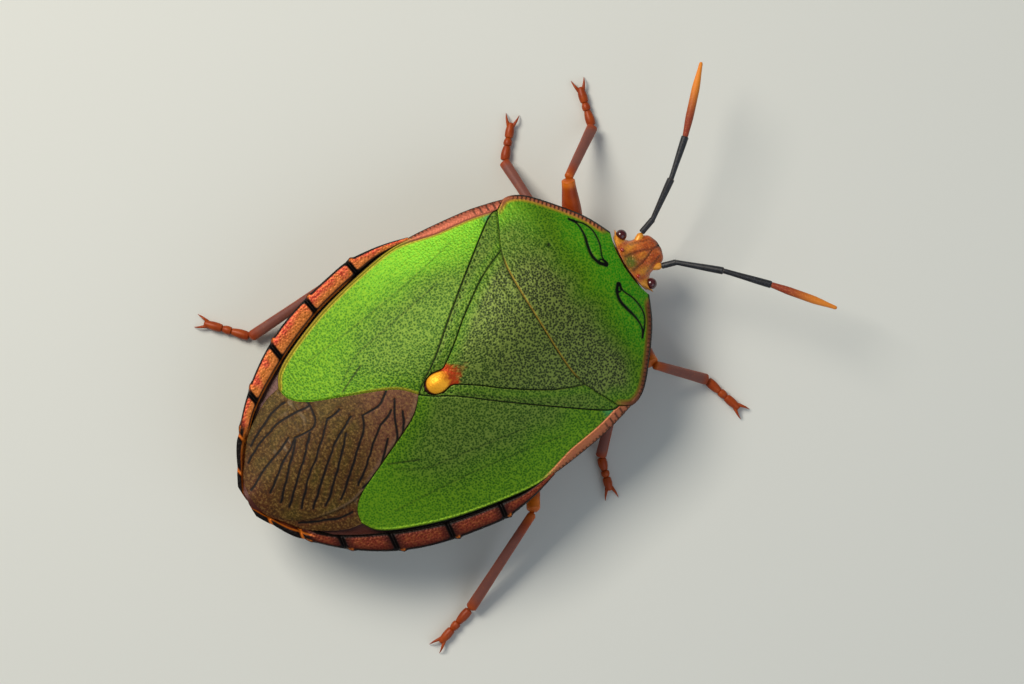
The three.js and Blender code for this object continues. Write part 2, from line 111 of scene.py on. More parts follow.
def line(points):
    """Plan line through points, a Catmull-Rom curve walked at even speed for t from 0 to 1."""
    p = np.array(points, float)
    padded = np.vstack([p[:1], p, p[-1:]])
    t = np.linspace(0, 1, 40, endpoint=False)[:, None]
    runs = []
    for a, b, c, d in zip(padded, padded[1:], padded[2:], padded[3:]):
        bend = (2 * a - 5 * b + 4 * c - d) * t**2 + (3 * b - a - 3 * c + d) * t**3
        runs.append(b + 0.5 * ((c - a) * t + bend))
    dense = np.vstack(runs + [p[-1:]])
    far = np.concatenate([[0], np.cumsum(np.linalg.norm(np.diff(dense, axis=0), axis=1))])

    def point_at(t):
        s = np.clip(t, 0, 1) * far[-1]
        return np.stack([np.interp(s, far, dense[:, k]) for k in range(dense.shape[1])], -1)

    return point_at


def flipped(plan):
    """The same line on the insect's right."""
    return lambda t: plan(t) * [-1, 1]


def across(plan):
    """A line from the right half through the middle to the left half."""
    return lambda u: plan(np.abs(2 * u - 1)) * np.stack([np.sign(2 * u - 1), np.ones_like(u)], -1)


def straight(a, b):
    """A straight plan line between two points."""
    return lambda t: mix(np.asarray(a, float), np.asarray(b, float), np.asarray(t, float)[..., None])


def spread(inner, outer, base, apex):
    """Sheet between four plan lines: the sum of the two ruled sheets between facing lines, less the
    flat sheet between the four corners."""

    def sheet(u, v):
        u, v = np.broadcast_arrays(u, v)
        a, b = u[..., None], v[..., None]
        ends = [inner(np.float64(0)), outer(np.float64(0)), inner(np.float64(1)), outer(np.float64(1))]
        corners = mix(mix(ends[0], ends[1], a), mix(ends[2], ends[3], a), b)
        return mix(inner(v), outer(v), a) + mix(base(u), apex(u), b) - corners

    return sheet


def distance(x, y, plan, samples=140):
    """Least distance from each point to a plan line, taken over even samples of the line."""
    spots = plan(np.linspace(0, 1, samples))
    best = np.full(x.shape, np.inf)
    for a, b in zip(spots, spots[1:]):
        d = b - a
        t = np.clip(((x - a[0]) * d[0] + (y - a[1]) * d[1]) / (d @ d + 1e-12), 0, 1)
        best = np.minimum(best, np.hypot(x - a[0] - t * d[0], y - a[1] - t * d[1]))
    return best


def nearest(y, places):
    """Least distance along the body from each point to one of a few places."""
    return np.min([np.abs(y - place) for place in places], axis=0)


def lattice(i, j, seed):
    """Fixed random number from 0 to 1 for each whole-number cell."""
    h = np.sin(i * 127.1 + j * 311.7 + seed * 74.7) * 43758.5453
    return h - np.floor(h)


def wander(x, y, size, seed):
    """Smooth random height from -1 to 1 with lumps of the given size."""
    gx, gy = x / size, y / size
    i, j = np.floor(gx), np.floor(gy)
    fx, fy = gx - i, gy - j
    sx, sy = fx * fx * (3 - 2 * fx), fy * fy * (3 - 2 * fy)
    low = mix(lattice(i, j, seed), lattice(i + 1, j, seed), sx)
    high = mix(lattice(i, j + 1, seed), lattice(i + 1, j + 1, seed), sx)
    return 2 * mix(low, high, sy) - 1


def punctures(x, y, spacing, radius, seed):
    """Depth from 0 to 1 of round pits, one at a random place in each cell of a grid."""
    gx, gy = x / spacing, y / spacing
    i, j = np.floor(gx), np.floor(gy)
    nearest = np.full(x.shape, np.inf)
    for di in (-1, 0, 1):
        for dj in (-1, 0, 1):
            px = i + di + 0.15 + 0.7 * lattice(i + di, j + dj, seed)
            py = j + dj + 0.15 + 0.7 * lattice(i + di, j + dj, seed + 5)
            nearest = np.minimum(nearest, np.hypot(gx - px, gy - py))
    return np.exp(-((nearest * spacing / radius) ** 2))


# Driving sizes: heights of the back along its middle and edge, of the belly, and half-widths in plan

TAIL = 28.6
spine = through([(0.7, 5.95), (2.5, 7), (4.5, 7.95), (7.4, 8.6), (10, 8.75), (13, 8.5), (19, 7.6),
                 (23, 6.95), (TAIL, 6.1)])
rim = through([(0.7, 5.3), (3, 5.6), (5.5, 5.9), (12, 5.75), (TAIL, 5.6)])
belly = through([(1.3, 3.45), (3, 2.9), (5, 2.4), (8, 2), (11.5, 1.65), (15, 1.5), (19, 1.7), (23, 2.35),
                 (26, 2.95), (TAIL, 3.55)])
roof_half = through([(0.7, 2.35), (1.6, 4), (2.85, 5.7), (4.1, 7.05), (5, 7.5), (8, 8.15), (12, 8.55),
                     (14, 8.45), (18, 7.65), (20, 7), (22, 6.15), (25, 4.35), (27.5, 2.2), (TAIL, 1.2)])
margin_half = through([(11.5, 8.6), (12.8, 8.97), (14, 9.2), (15.4, 9.32), (17, 9.1), (19, 8.68),
                       (21, 8.05), (23, 7.05), (25, 5.6), (26.75, 3.8), (27.9, 2.1), (28.5, 0.95)])
margin_inner = through([(11.4, 8.5), (12.8, 8.62), (14, 8.62), (18, 7.9), (20, 7.25), (22, 6.4), (25, 4.7),
                        (26.5, 3.25), (27.3, 2), (27.9, 1.15), (28.5, 0.2)])


def roof(x, y):
    """Height of the back: domed across the middle, easing out level at the edge."""
    r = np.minimum(np.abs(x) / roof_half(y), 1)
    dome = 0.62 * (1 - r * r) + 0.19 * (1 + np.cos(np.pi * r))
    return mix(rim(y), spine(y), dome)


def flank(y):
    """Height where back and belly meet, which sinks under the crossed membranes."""
    return rim(y) - 1.1 - 0.6 * ease(19, 23.5, y)


# Outlines of the plates of the back, seen from above. Each is given on the left and mirrored.
shield_side = line([(2.3, 0.72), (3.9, 1.5), (5.7, 2.85), (7.05, 4.1), (7.5, 5.15), (7.1, 5.97)])
shield_front = line([(0, 1.15), (1.2, 1.04), (2.3, 0.72)])
shield_back = line([(0, 7.4), (3.3, 7.36), (4.85, 7.05), (6.2, 6.4), (7.1, 5.97)])
scutellum_front = line([(0, 7.4), (3.3, 7.36), (4.85, 7.05)])
scutellum_side = line([(4.85, 7.05), (4.05, 8.9), (2.6, 11.1), (1.5, 12.5), (0.74, 13.6), (0.58, 14),
                       (0.66, 14.6), (0.52, 15.15), (0.25, 15.45)])
scutellum_end = line([(0, 15.5), (0.25, 15.45)])
clavus_front = line([(4.85, 7.05), (6.2, 6.4), (7.1, 5.97)])
claval_suture = line([(7.1, 5.97), (6.9, 6.75), (5, 9.35), (3, 11.95), (1.35, 14), (0.6, 15.2), (0, 16)])
costal_margin = line([(7.48, 5.3), (7.75, 6.2), (8.15, 8), (8.55, 11.5), (8.45, 14), (7.65, 18), (6.6, 21),
                      (5.75, 22.6), (4.9, 23.2)])
apical_margin = line([(0, 16), (1.05, 17.1), (2.3, 19.9), (3.2, 22), (4, 22.95), (4.9, 23.2)])
membrane_outer = line([(4.9, 23.2), (4.6, 24.4), (3.5, 26.2), (2.1, 27.4)])
membrane_inner = line([(0, 16), (-1, 17.15), (-2.2, 19.85), (-2.95, 21.4)])
membrane_tip = line([(-2.95, 21.4), (-3.42, 23), (-3.2, 25), (-2.6, 26.5), (-1.7, 27.5), (-0.6, 28.05),
                     (0.3, 28.15), (1.3, 27.95), (2.1, 27.4)])


# Meshes


def mesh_piece(name, points, faces, marks, look, replaces=True):
    """Puts points in mm and groups of faces into a mesh, and keeps its marks as attributes. Each group
    of faces is an array with one row of corners per face. look is a slot and a material. The piece
    stands for the solid that has its name without the last word, unless replaces is False."""
    mesh = bpy.data.meshes.new(name)
    mesh.vertices.add(len(points))
    mesh.vertices.foreach_set("co", (points * MM + ORIGIN).astype(np.float32).ravel())
    corners = np.concatenate([f.ravel() for f in faces]).astype(np.int32)
    sizes = np.concatenate([np.full(len(f), f.shape[1]) for f in faces])
    mesh.loops.add(len(corners))
    mesh.loops.foreach_set("vertex_index", corners)
    mesh.polygons.add(len(sizes))
    mesh.polygons.foreach_set("loop_start", (np.cumsum(sizes) - sizes).astype(np.int32))
    mesh.polygons.foreach_set("use_smooth", np.ones(len(sizes), bool))
    mesh.update(calc_edges=True)
    mesh.validate()
    for mark, values in marks.items():
        layer = mesh.attributes.new(mark, "FLOAT", "POINT")
        layer.data.foreach_set("value", np.ascontiguousarray(values, np.float32).ravel())
    piece = bpy.data.objects.new(name, mesh)
    bpy.context.scene.collection.objects.link(piece)
    slot, material = look
    mesh.materials.append(material)
    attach(piece, "root")
    if replaces:
        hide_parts(name.rsplit("_", 1)[0])


def quads_of(index, wrap=False):
    """Corner rows of the quads of a grid of vertex numbers. wrap joins its last column to its first."""
    if wrap:
        index = np.hstack([index, index[:, :1]])
    a, b, c, d = index[:-1, :-1], index[:-1, 1:], index[1:, 1:], index[1:, :-1]
    return np.stack([a, b, c, d], -1).reshape(-1, 4)


def fan(ring, centre):
    """Triangles from each edge of a ring to one centre vertex."""
    return np.stack([ring, np.roll(ring, -1), np.full(len(ring), centre)], -1)


def outward(points, faces):
    """The same faces, all turned round if they enclose a negative volume."""
    volume = 0
    for f in faces:
        a = points[f[:, 0]]
        for k in range(1, f.shape[1] - 1):
            volume += np.einsum("ij,ij->", a, np.cross(points[f[:, k]], points[f[:, k + 1]]))
    return faces if volume > 0 else [f[:, ::-1] for f in faces]


# Sizes of the rings of a plate's under face, as shares of its outline
UNDER_RINGS = (1, 0.8, 0.5, 0.2)


def below_roof(depth):
    """Height that lies a fixed depth below the back."""
    return lambda x, y: roof(x, y) - depth


def plate_piece(name, sheet, shape, finish, look, turned=False, under=below_roof(SHELL)):
    """Closed plate. Its upper face is a grid of rows and columns over the sheet, with the height and
    the marks that finish(x, y, u, v) gives. Its under face has the height under(x, y), in rings that
    shrink to the middle of the sheet. turned puts the plate on the other side."""
    rows, columns = shape
    u, v = np.meshgrid(np.linspace(0, 1, columns), np.linspace(0, 1, rows))
    plan = sheet(u, v)
    height, marks = finish(plan[..., 0], plan[..., 1], u, v)
    top = np.concatenate([plan, height[..., None]], -1).reshape(-1, 3)
    index = np.arange(len(top)).reshape(rows, columns)
    border = np.concatenate([index[0, :-1], index[:-1, -1], index[-1, :0:-1], index[:0:-1, 0]])
    bu, bv = u.ravel()[border], v.ravel()[border]
    count = len(border)
    faces = [quads_of(index)]
    points = [top]
    ring = border
    for k, share in enumerate(UNDER_RINGS):
        ru, rv = 0.5 + (bu - 0.5) * share, 0.5 + (bv - 0.5) * share
        plan = sheet(ru, rv)
        low = np.minimum(under(plan[:, 0], plan[:, 1]), top[border, 2] - 0.05 if k == 0 else np.inf)
        points.append(np.column_stack([plan, low]))
        fresh = len(top) + k * count + np.arange(count)
        faces.append(quads_of(np.stack([ring, fresh]), wrap=True)[:, ::-1])
        ring = fresh
    middle = sheet(np.array([0.5]), np.array([0.5]))
    points.append(np.column_stack([middle, under(middle[:, 0], middle[:, 1])]))
    faces.append(fan(ring, len(top) + len(UNDER_RINGS) * count))
    points = np.vstack(points)
    # The grid's faces and the border's must run opposite ways along their shared edges.
    faces[0] = faces[0][:, ::-1]
    marks = {key: np.concatenate([m.ravel(), np.full(len(points) - len(top), m.ravel()[0])])
             for key, m in marks.items()}
    if turned:
        points = points * [-1, 1, 1]
    mesh_piece(name, points, outward(points, faces), marks, look)


def axes_along(spots):
    """Level and upward unit vectors, both square to the path, at each of its points."""
    forward = np.gradient(spots, axis=0)
    forward /= np.linalg.norm(forward, axis=1, keepdims=True)
    level = np.cross([0, 0, 1], forward)
    level /= np.linalg.norm(level, axis=1, keepdims=True)
    return level, np.cross(forward, level)


def ring_grid(stations, sides):
    """Two grids that hold the station of each ring and the angle of each point round it."""
    return np.meshgrid(stations, np.linspace(0, 2 * np.pi, sides, endpoint=False), indexing="ij")


def tube_points(path, radius, steps, sides):
    """Rings of a round profile carried along a path. radius(t, angle) is the distance from the path
    at each share of the way and angle, where a quarter turn is upward."""
    t = 0.5 - 0.5 * np.cos(np.linspace(0, np.pi, steps))
    spots = path(t)
    level, up = axes_along(spots)
    tt, aa = ring_grid(t, sides)
    r = np.broadcast_to(radius(tt, aa), tt.shape)
    sideways = (r * np.cos(aa))[..., None] * level[:, None]
    upward = (r * np.sin(aa))[..., None] * up[:, None]
    rings = spots[:, None] + sideways + upward
    return rings, tt, aa


def close_tube(rings):
    """Points and faces of a tube, with a vertex at the middle of each end."""
    steps, sides = rings.shape[:2]
    points = np.vstack([rings.reshape(-1, 3), rings[0].mean(0)[None], rings[-1].mean(0)[None]])
    index = np.arange(steps * sides).reshape(steps, sides)
    first = steps * sides
    faces = [quads_of(index, wrap=True), fan(index[0][::-1], first), fan(index[-1], first + 1)]
    return points, outward(points, faces)


def tube_piece(name, rings, marks, look, extra=(), replaces=True):
    """Closed tube as a piece. extra holds more rings, which join the same mesh."""
    points, faces = close_tube(rings)
    for more in extra:
        extra_points, extra_faces = close_tube(more)
        faces += [f + len(points) for f in extra_faces]
        points = np.vstack([points, extra_points])
    size = rings.shape[0] * rings.shape[1]
    full = {}
    for key, m in marks.items():
        flat = np.ravel(m)
        tail = np.full(len(points) - size, flat[-1])
        tail[:2] = flat[0], flat[-1]
        full[key] = np.concatenate([flat, tail])
    mesh_piece(name, points, faces, full, look, replaces)


# Materials


def linear(code):
    """Linear colour of an sRGB hex value."""
    parts = [int(code[i : i + 2], 16) / 255 for i in (0, 2, 4)]
    return (*[p / 12.92 if p <= 0.04045 else ((p + 0.055) / 1.055) ** 2.4 for p in parts], 1.0)


def add_node(tree, kind, inputs=None, **settings):
    """Adds a node. Its settings are its own properties, and each input is a value or an output."""
    node = tree.nodes.new("ShaderNode" + kind)
    for key, value in settings.items():
        setattr(node, key, value)
    for key, value in (inputs or {}).items():
        if isinstance(value, bpy.types.NodeSocket):
            tree.links.new(value, node.inputs[key])
        else:
            node.inputs[key].default_value = value
    return node


class Finish:
    """A material in the making: a colour that is built up in layers, then a bump and the shader."""

    def __init__(self, name, base):
        self.material = bpy.data.materials.new(name)
        self.material.use_nodes = True
        self.tree = self.material.node_tree
        self.tree.nodes.clear()
        self.place = add_node(self.tree, "TexCoord").outputs["Object"]
        self.colour = linear(base)
        self.bump = None

    def mark(self, name):
        """Value of one of the mesh's own marks."""
        return add_node(self.tree, "Attribute", attribute_name=name).outputs["Fac"]

    def math(self, operation, a, b=0.0, clamp=False):
        """Result of one operation on two values or outputs."""
        return add_node(self.tree, "Math", {0: a, 1: b}, operation=operation, use_clamp=clamp).outputs[0]

    def ramp(self, value, low, high):
        """Share from 0 at low to 1 at high."""
        inputs = {"Value": value, "From Min": low, "From Max": high}
        return add_node(self.tree, "MapRange", inputs, interpolation_type="SMOOTHSTEP").outputs["Result"]

    def grain(self, size_mm, detail=2.0, rough=0.6):
        """Noise from 0 to 1 with lumps of a real size."""
        inputs = {"Vector": self.place, "Scale": 1 / (size_mm * MM), "Detail": detail, "Roughness": rough}
        return add_node(self.tree, "TexNoise", inputs).outputs["Fac"]

    def cells(self, size_mm):
        """Distance from the middle of the nearest cell, about 0 to 0.7, with cells of a real size."""
        inputs = {"Vector": self.place, "Scale": 1 / (size_mm * MM)}
        return add_node(self.tree, "TexVoronoi", inputs).outputs["Distance"]

    def layer(self, share, colour, strength=1.0):
        """Lays a colour over what is there, by a share from 0 to 1 or a mark's name, times a strength."""
        if isinstance(share, str):
            share = self.mark(share)
        if strength != 1:
            share = self.math("MULTIPLY", share, strength)
        inputs = {0: share, 6: self.colour, 7: linear(colour)}
        node = add_node(self.tree, "Mix", inputs, data_type="RGBA", clamp_factor=True)
        self.colour = node.outputs[2]

    def relief(self, height, depth_mm, strength=1.0):
        """Raises the surface where a value from 0 to 1 is high."""
        inputs = {"Height": height, "Distance": depth_mm * MM, "Strength": strength}
        if self.bump:
            inputs["Normal"] = self.bump
        self.bump = add_node(self.tree, "Bump", inputs).outputs[0]

    def done(self, roughness, **sockets):
        """Ends the material with its shader, whose constant inputs are given by name."""
        shader = add_node(self.tree, "BsdfPrincipled", {"Base Color": self.colour, "Roughness": roughness})
        for key, value in sockets.items():
            shader.inputs[key.replace("_", " ")].default_value = value
        if self.bump:
            self.tree.links.new(self.bump, shader.inputs["Normal"])
        out = add_node(self.tree, "OutputMaterial")
        self.tree.links.new(shader.outputs[0], out.inputs[0])
        return self.material


def metallic_green_cuticle():
    """Chitin with thin reflecting layers: a saturated green that shines like metal, with its reflection
    painted into the colour: dull and olive on the disc, which faces the view, and bright green where the
    surface tilts. It is grained all over with painted glints on the ridges round fine pits, which painted
    shade darkens."""
    f = Finish("metallic_green_cuticle", "305c08")
    patchy = f.grain(1.5, 3)
    cell = f.cells(0.13)
    ridge = f.ramp(cell, 0.35, 0.75)
    pit_shade = f.ramp(cell, 0.4, 0.1)
    f.layer(f.ramp(patchy, 0.35, 0.7), "3c6b0b")
    # Painted reflection: bright, vivid and the disc's olive stand for the metal's reflection, dark where the
    # surface faces the view and green where it tilts
    f.layer("bright", "487c0b")
    f.layer("vivid", "2c9a0c")
    # Painted light: a yellow-green glow on the side where the light falls
    f.layer("glow", "6cb424")
    disc = f.mark("disc")
    uneven = f.math("ADD", disc, f.math("MULTIPLY", f.math("SUBTRACT", patchy, 0.5), 0.3), True)
    f.layer(f.ramp(uneven, 0.0, 0.8), "3c5a16")
    f.layer(f.ramp(uneven, 0.6, 1.0), "303b1c")
    off_disc = f.math("SUBTRACT", 1.0, disc, True)
    # Painted glints on the ridges of the grain, and painted shade in its pits
    f.layer(f.math("MULTIPLY", ridge, off_disc), "80a81c", 0.5)
    f.layer(f.math("MULTIPLY", ridge, disc), "8ca04a", 0.6)
    f.layer(pit_shade, "121e06", 0.5)
    f.layer("teal", "2c9a6a")
    f.layer("gold", "b0902a")
    f.layer("salmon", "b06048")
    f.layer("ember", "b2340c")
    f.layer("amber", "ffb22c")
    f.layer("ink", "060806")
    f.relief(cell, 0.02, 0.7)
    return f.done(0.48, Metallic=0.4, Specular_IOR_Level=0.2)


def coppery_cuticle():
    """Chitin with a copper-red metal sheen, black in the joints. Its gold towards the body is painted light
    on the side where the light falls, its dark layer is painted shade on the other side and the own dark of
    the tail lobes, and its grain carries painted highlights on the ridges and painted shade in the pits.
    """
    f = Finish("coppery_cuticle", "b23a28")
    patchy = f.grain(0.7, 3)
    cell = f.cells(0.14)
    f.layer(f.ramp(patchy, 0.4, 0.75), "c84e38")
    f.layer("gold", "c27a2c")
    # Painted highlights on the ridges of the grain, and painted shade in its pits
    f.layer(f.ramp(cell, 0.4, 0.7), "f09450", 0.35)
    f.layer(f.ramp(cell, 0.4, 0.1), "30100a", 0.45)
    # Painted shade over the plates on the shaded side, and the own dark of the tail lobes
    f.layer("dark", "2a0a04")
    f.layer("amber", "e67c20")
    f.layer("ink", "0b0605")
    f.relief(cell, 0.018, 0.7)
    return f.done(0.45, Metallic=0.4, Specular_IOR_Level=0.2)


def belly_cuticle():
    """The under side, hardly metallic: ochre brown with a green shine and dark joints."""
    f = Finish("belly_cuticle", "7a451a")
    f.layer(f.ramp(f.grain(2.2, 3), 0.4, 0.7), "56601c")
    fine = f.grain(0.15, 2)
    f.layer(f.ramp(fine, 0.55, 0.8), "a87a3a", 0.4)
    f.layer("rust", "4c1c0c")
    f.layer("ink", "140a05")
    f.relief(fine, 0.02, 0.6)
    return f.done(0.42, Metallic=0.3, Coat_Weight=0.15, Coat_Roughness=0.3)


def wing_membrane():
    """Thin parchment-like wing skin: dark olive brown, mauve near the base, with dark veins and a
    silky shine in short streaks."""
    f = Finish("wing_membrane", "4c320a")
    f.layer(f.ramp(f.grain(1.4, 3), 0.35, 0.7), "50400e")
    f.layer("base", "6c442e")
    f.layer("rust", "5a2412")
    mottle = f.grain(0.16, 3, 0.75)
    f.layer(f.ramp(mottle, 0.5, 0.66), "94743c", 0.55)
    f.layer(f.ramp(mottle, 0.5, 0.34), "1a1004", 0.6)
    # Painted sheen: the silky shine where the mark lies
    f.layer("silk", "b8a488")
    f.layer("vein", "0a0503")
    f.relief(mottle, 0.01, 0.6)
    return f.done(0.58, Metallic=0.2, Specular_IOR_Level=0.25)


def copper_orange_cuticle():
    """Head: glossy chitin, copper brown with orange swellings and an olive green patch behind."""
    f = Finish("copper_orange_cuticle", "c05218")
    fine = f.grain(0.1, 2)
    f.layer(f.ramp(f.grain(0.4, 2), 0.4, 0.7), "d46c28")
    f.layer("amber", "f0a02c")
    f.layer("green", "66701a")
    f.layer(f.ramp(fine, 0.5, 0.75), "e89a50", 0.45)
    f.layer("ink", "200a04")
    f.relief(fine, 0.02, 0.8)
    return f.done(0.4, Metallic=0.25, Coat_Weight=0.15, Coat_Roughness=0.25)


def rust_cuticle():
    """Legs: smooth chitin, rust brown, with a mauve grey shine on the shins and orange at the joints."""
    f = Finish("rust_cuticle", "92360a")
    fine = f.grain(0.1, 2)
    f.layer(f.ramp(f.grain(0.8, 2), 0.35, 0.7), "a4440c")
    # Painted sheen: mauve grey where the mark lies, on the upper side of the shins
    f.layer("mauve", "6b4c48")
    f.layer("amber", "d87018")
    f.layer(f.ramp(fine, 0.55, 0.8), "b86a38", 0.35)
    f.layer("ink", "1a0803")
    f.relief(fine, 0.015, 0.6)
    return f.done(0.42, Metallic=0.05, Specular_IOR_Level=0.3)


def black_bloomed_cuticle():
    """Feelers: black chitin under a thin grey-blue bloom of down, with pale rings at the joints."""
    f = Finish("black_bloomed_cuticle", "0d0e12")
    fine = f.grain(0.07, 2)
    f.layer(f.ramp(fine, 0.45, 0.7), "3c424e", 0.6)
    f.layer("pale", "6a5844", 0.7)
    f.relief(fine, 0.02, 0.7)
    return f.done(0.45)


def orange_downy_cuticle():
    """Feeler tips: orange chitin under dense short down, redder at the root."""
    f = Finish("orange_downy_cuticle", "8c2c0c")
    fine = f.grain(0.07, 2)
    f.layer("light", "e8861c")
    f.layer(f.ramp(fine, 0.5, 0.75), "f0a858", 0.4)
    f.relief(fine, 0.015, 0.6)
    return f.done(0.6)


def eye_lens():
    """Faceted eye: dark wine red, glossy, with facets of about 0.02 mm drawn at 0.05 mm to show."""
    f = Finish("eye_lens", "5a0c12")
    facet = f.cells(0.05)
    f.layer(f.ramp(facet, 0.2, 0.7), "2c060a")
    f.relief(facet, -0.008, 0.4)
    return f.done(0.18, Coat_Weight=0.5, Coat_Roughness=0.08)


def red_simple_eye():
    """Small simple eye: clear red-orange lens, glossy."""
    f = Finish("red_simple_eye", "a02a14")
    return f.done(0.15, Coat_Weight=0.5, Coat_Roughness=0.1)


# Each look is a slot of the record and the material that is seen there
GREEN = ("green_cuticle", metallic_green_cuticle())
COPPER = ("coppery_cuticle", coppery_cuticle())
BELLY = ("coppery_cuticle", belly_cuticle())
SKIN = ("wing_membrane", wing_membrane())
HEAD = ("head_cuticle", copper_orange_cuticle())
RUST = ("leg_cuticle", rust_cuticle())
BLACK = ("feeler_cuticle", black_bloomed_cuticle())
DOWN = ("feeler_tip", orange_downy_cuticle())
LENS = ("eye_lens", eye_lens())
RED = ("eye_lens", red_simple_eye())


# Back. The numbers in the finishes are places, widths and heights in mm.


def rolled(d, radius=EDGE_ROLL):
    """Drop of a rounded edge at a distance d from it: a quarter circle."""
    t = 1 - np.clip(d / radius, 0, 1)
    return radius * (1 - np.sqrt(1 - t * t))


# Marks that every green plate carries
GREEN_MARKS = ("bright", "vivid", "glow", "disc", "teal", "gold", "salmon", "ember", "amber", "ink")


def blank(x, **given):
    """Marks of the green plates, zero where not given."""
    marks = {key: np.zeros_like(x) for key in GREEN_MARKS}
    marks.update({key: np.clip(value, 0, 1) * np.ones_like(x) for key, value in given.items()})
    return marks


def callus_line(x, y):
    """Ink from 0 to 1 of the lens-shaped outline round each callus: a thin upper line, a thicker lower
    line and a blunt dark end towards the middle."""
    upper = line([(0.85, 1.95), (1.25, 1.98), (2, 1.68), (2.9, 1.6), (3.6, 1.88), (4.3, 2.48)])
    lower = line([(0.7, 2.0), (1.0, 2.32), (1.6, 2.48), (2.25, 2.38), (3, 2.19), (3.75, 2.19), (4.3, 2.48)])
    blunt = line([(0.72, 2.02), (1.05, 2.18)])
    across_x = np.abs(x) + 0.03 * wander(x, y, 0.3, 12)
    thin = hump(distance(across_x, y, upper), 0, 0.055)
    thick = hump(distance(across_x, y, lower), 0, mix(0.06, 0.11, ease(3.6, 2.2, np.abs(x))))
    end = hump(distance(across_x, y, blunt), 0.1, 0.05)
    return np.clip(1.3 * thin + 1.4 * thick + 1.2 * end, 0, 1)


def finish_shield(x, y, u, v):
    """The pronotum: the back's height with a lip along each side, a swelling under each callus, pits and
    fine ridges. It is dark olive on the disc and green in front, a painted reflection of its metal-like
    surface, lighter on the left by painted light, and toothed with black on the margin, which painted shade
    darkens on the right."""
    side = distance(np.abs(x), y, shield_side)
    front = distance(np.abs(x), y, shield_front)
    back = distance(np.abs(x), y, shield_back)
    edge = np.minimum(np.minimum(side, front), back)
    wave = 0.3 * wander(x, y, 1.1, 11)
    # Painted reflection: the disc is dark olive where it faces the view. Painted light lightens it towards
    # the lit left side, and the bright front fades towards the shaded right.
    disc = ease(3.3, 5.6, y + wave - 0.1 * x) * ease(0.2, 1.7, side) * mix(1, 0.6, ease(2, 5, x))
    bright = ease(4.6, 2.6, y + wave) * ease(-7, 0, x)
    pit = punctures(x, y, 0.19, 0.055, 1)
    ridges = wander(x, y * 1.8, 0.2, 2)
    ink_line = callus_line(x, y)
    lip_share = ease(2.2, 2.9, np.abs(x)) * ease(6.2, 5.2, y)
    margin = ease(0.48, 0.3, side) * lip_share
    toothed = ease(5.2, 4.4, y)
    lip = 0.1 * hump(side, 0.13, 0.12) * lip_share
    swell = 0.14 * hump(np.abs(x), 2.2, 1.3) * hump(y, 2.05, 0.5)
    dent = hump(np.hypot(x - 3.6, y - 4.4), 0, 0.12)
    z = roof(x, y) + swell + lip - rolled(edge, 0.12) - PIT_DEPTH * pit + 0.01 * ridges
    z = z - 0.04 * ink_line - 0.05 * dent
    ticks = ease(-0.3, 0.8, np.sin(17 * y + 17 * np.abs(x)))
    # Painted shade: the margin darkens towards the right, away from the light
    shade = ease(1, -1, x)
    rim_ink = np.maximum(ease(0.13, 0.07, side), 0.9 * ticks * ease(0.32, 0.24, side) * lip_share) * toothed
    rim_ink = np.maximum(rim_ink, 0.7 * shade * margin)
    seam = ease(0.06, 0.02, back)
    # Painted reflection: vivid green on the front slope. The glow on the left flank, where the light falls,
    # is painted light.
    vivid = 0.8 * ease(3.9, 1.9, y + wave)
    glow = 0.6 * ease(3.5, 6.2, x) * ease(3, 5, y)
    thin_gold = 0.8 * ease(0.12, 0.07, back) * ease(4.6, 3.8, np.abs(x))
    salmon = 0.9 * ease(0.34, 0.2, side) * lip_share
    marks = blank(x, disc=disc, bright=bright, vivid=vivid, glow=glow, salmon=salmon,
                  gold=np.maximum(margin, thin_gold),
                  ink=np.maximum(np.maximum(ink_line, dent), np.maximum(rim_ink, seam)))
    return z, marks


# Place along the body and radius of the swollen tip of the scutellum
TONGUE = (14.72, 0.64)


def finish_scutellum(x, y, u, v):
    """The scutellum: the back's height with pits and, at its base, wrinkles. Its tip swells to an amber
    spoon, the upper half of a drop, behind a red neck that fades forward in speckles."""
    side = distance(np.abs(x), y, scutellum_side)
    front = distance(np.abs(x), y, scutellum_front)
    edge = np.minimum(side, front)
    neck = ease(13.3, 13.9, y)
    speckle = wander(x, y, 0.14, 9)
    pit = punctures(x, y, 0.18, 0.052, 3) * (1 - neck)
    wrinkles = wander(x * 0.3, y, 0.15, 4) * ease(0.8, 3.2, x) * ease(11.5, 8.8, y)
    along = np.where(y < TONGUE[0], 0.55, 1.0) * (y - TONGUE[0])
    reach = np.hypot(x, along) / TONGUE[1]
    spoon = np.sqrt(np.clip(1 - reach * reach, 0, 1)) * ease(13.5, 14.6, y)
    z = roof(x, y) + 0.3 * spoon + 0.06 * hump(x, 0, 0.3) * neck - rolled(edge)
    z = z - PIT_DEPTH * pit + 0.028 * wrinkles
    neck_half = mix(0.05, 0.8, ease(12.6, 13.9, y)) + 0.1 * speckle
    ember = ease(0.2, -0.2, np.abs(x) - neck_half) * ease(12.2, 14.1, y + 0.3 * speckle)
    tip_ink = ease(13.9, 14.2, y) * ease(0.9, 1.05, reach) * 0.95
    amber = ease(1.02, 0.9, reach) * ease(13.7, 14.35, y + 0.15 * speckle)
    # Painted light: along the left edge, where the light falls, the plate is less olive and brighter green
    marks = blank(x, disc=0.9 - 0.5 * ease(0.9, 0.0, side) * (x > 0) - 0.1 * ease(9, 13, y), ember=ember,
                  bright=0.3 * ease(1.0, 0.2, side) * (x > 0), amber=amber,
                  ink=np.maximum(ease(0.05, 0.01, edge), tip_ink))
    return z, marks


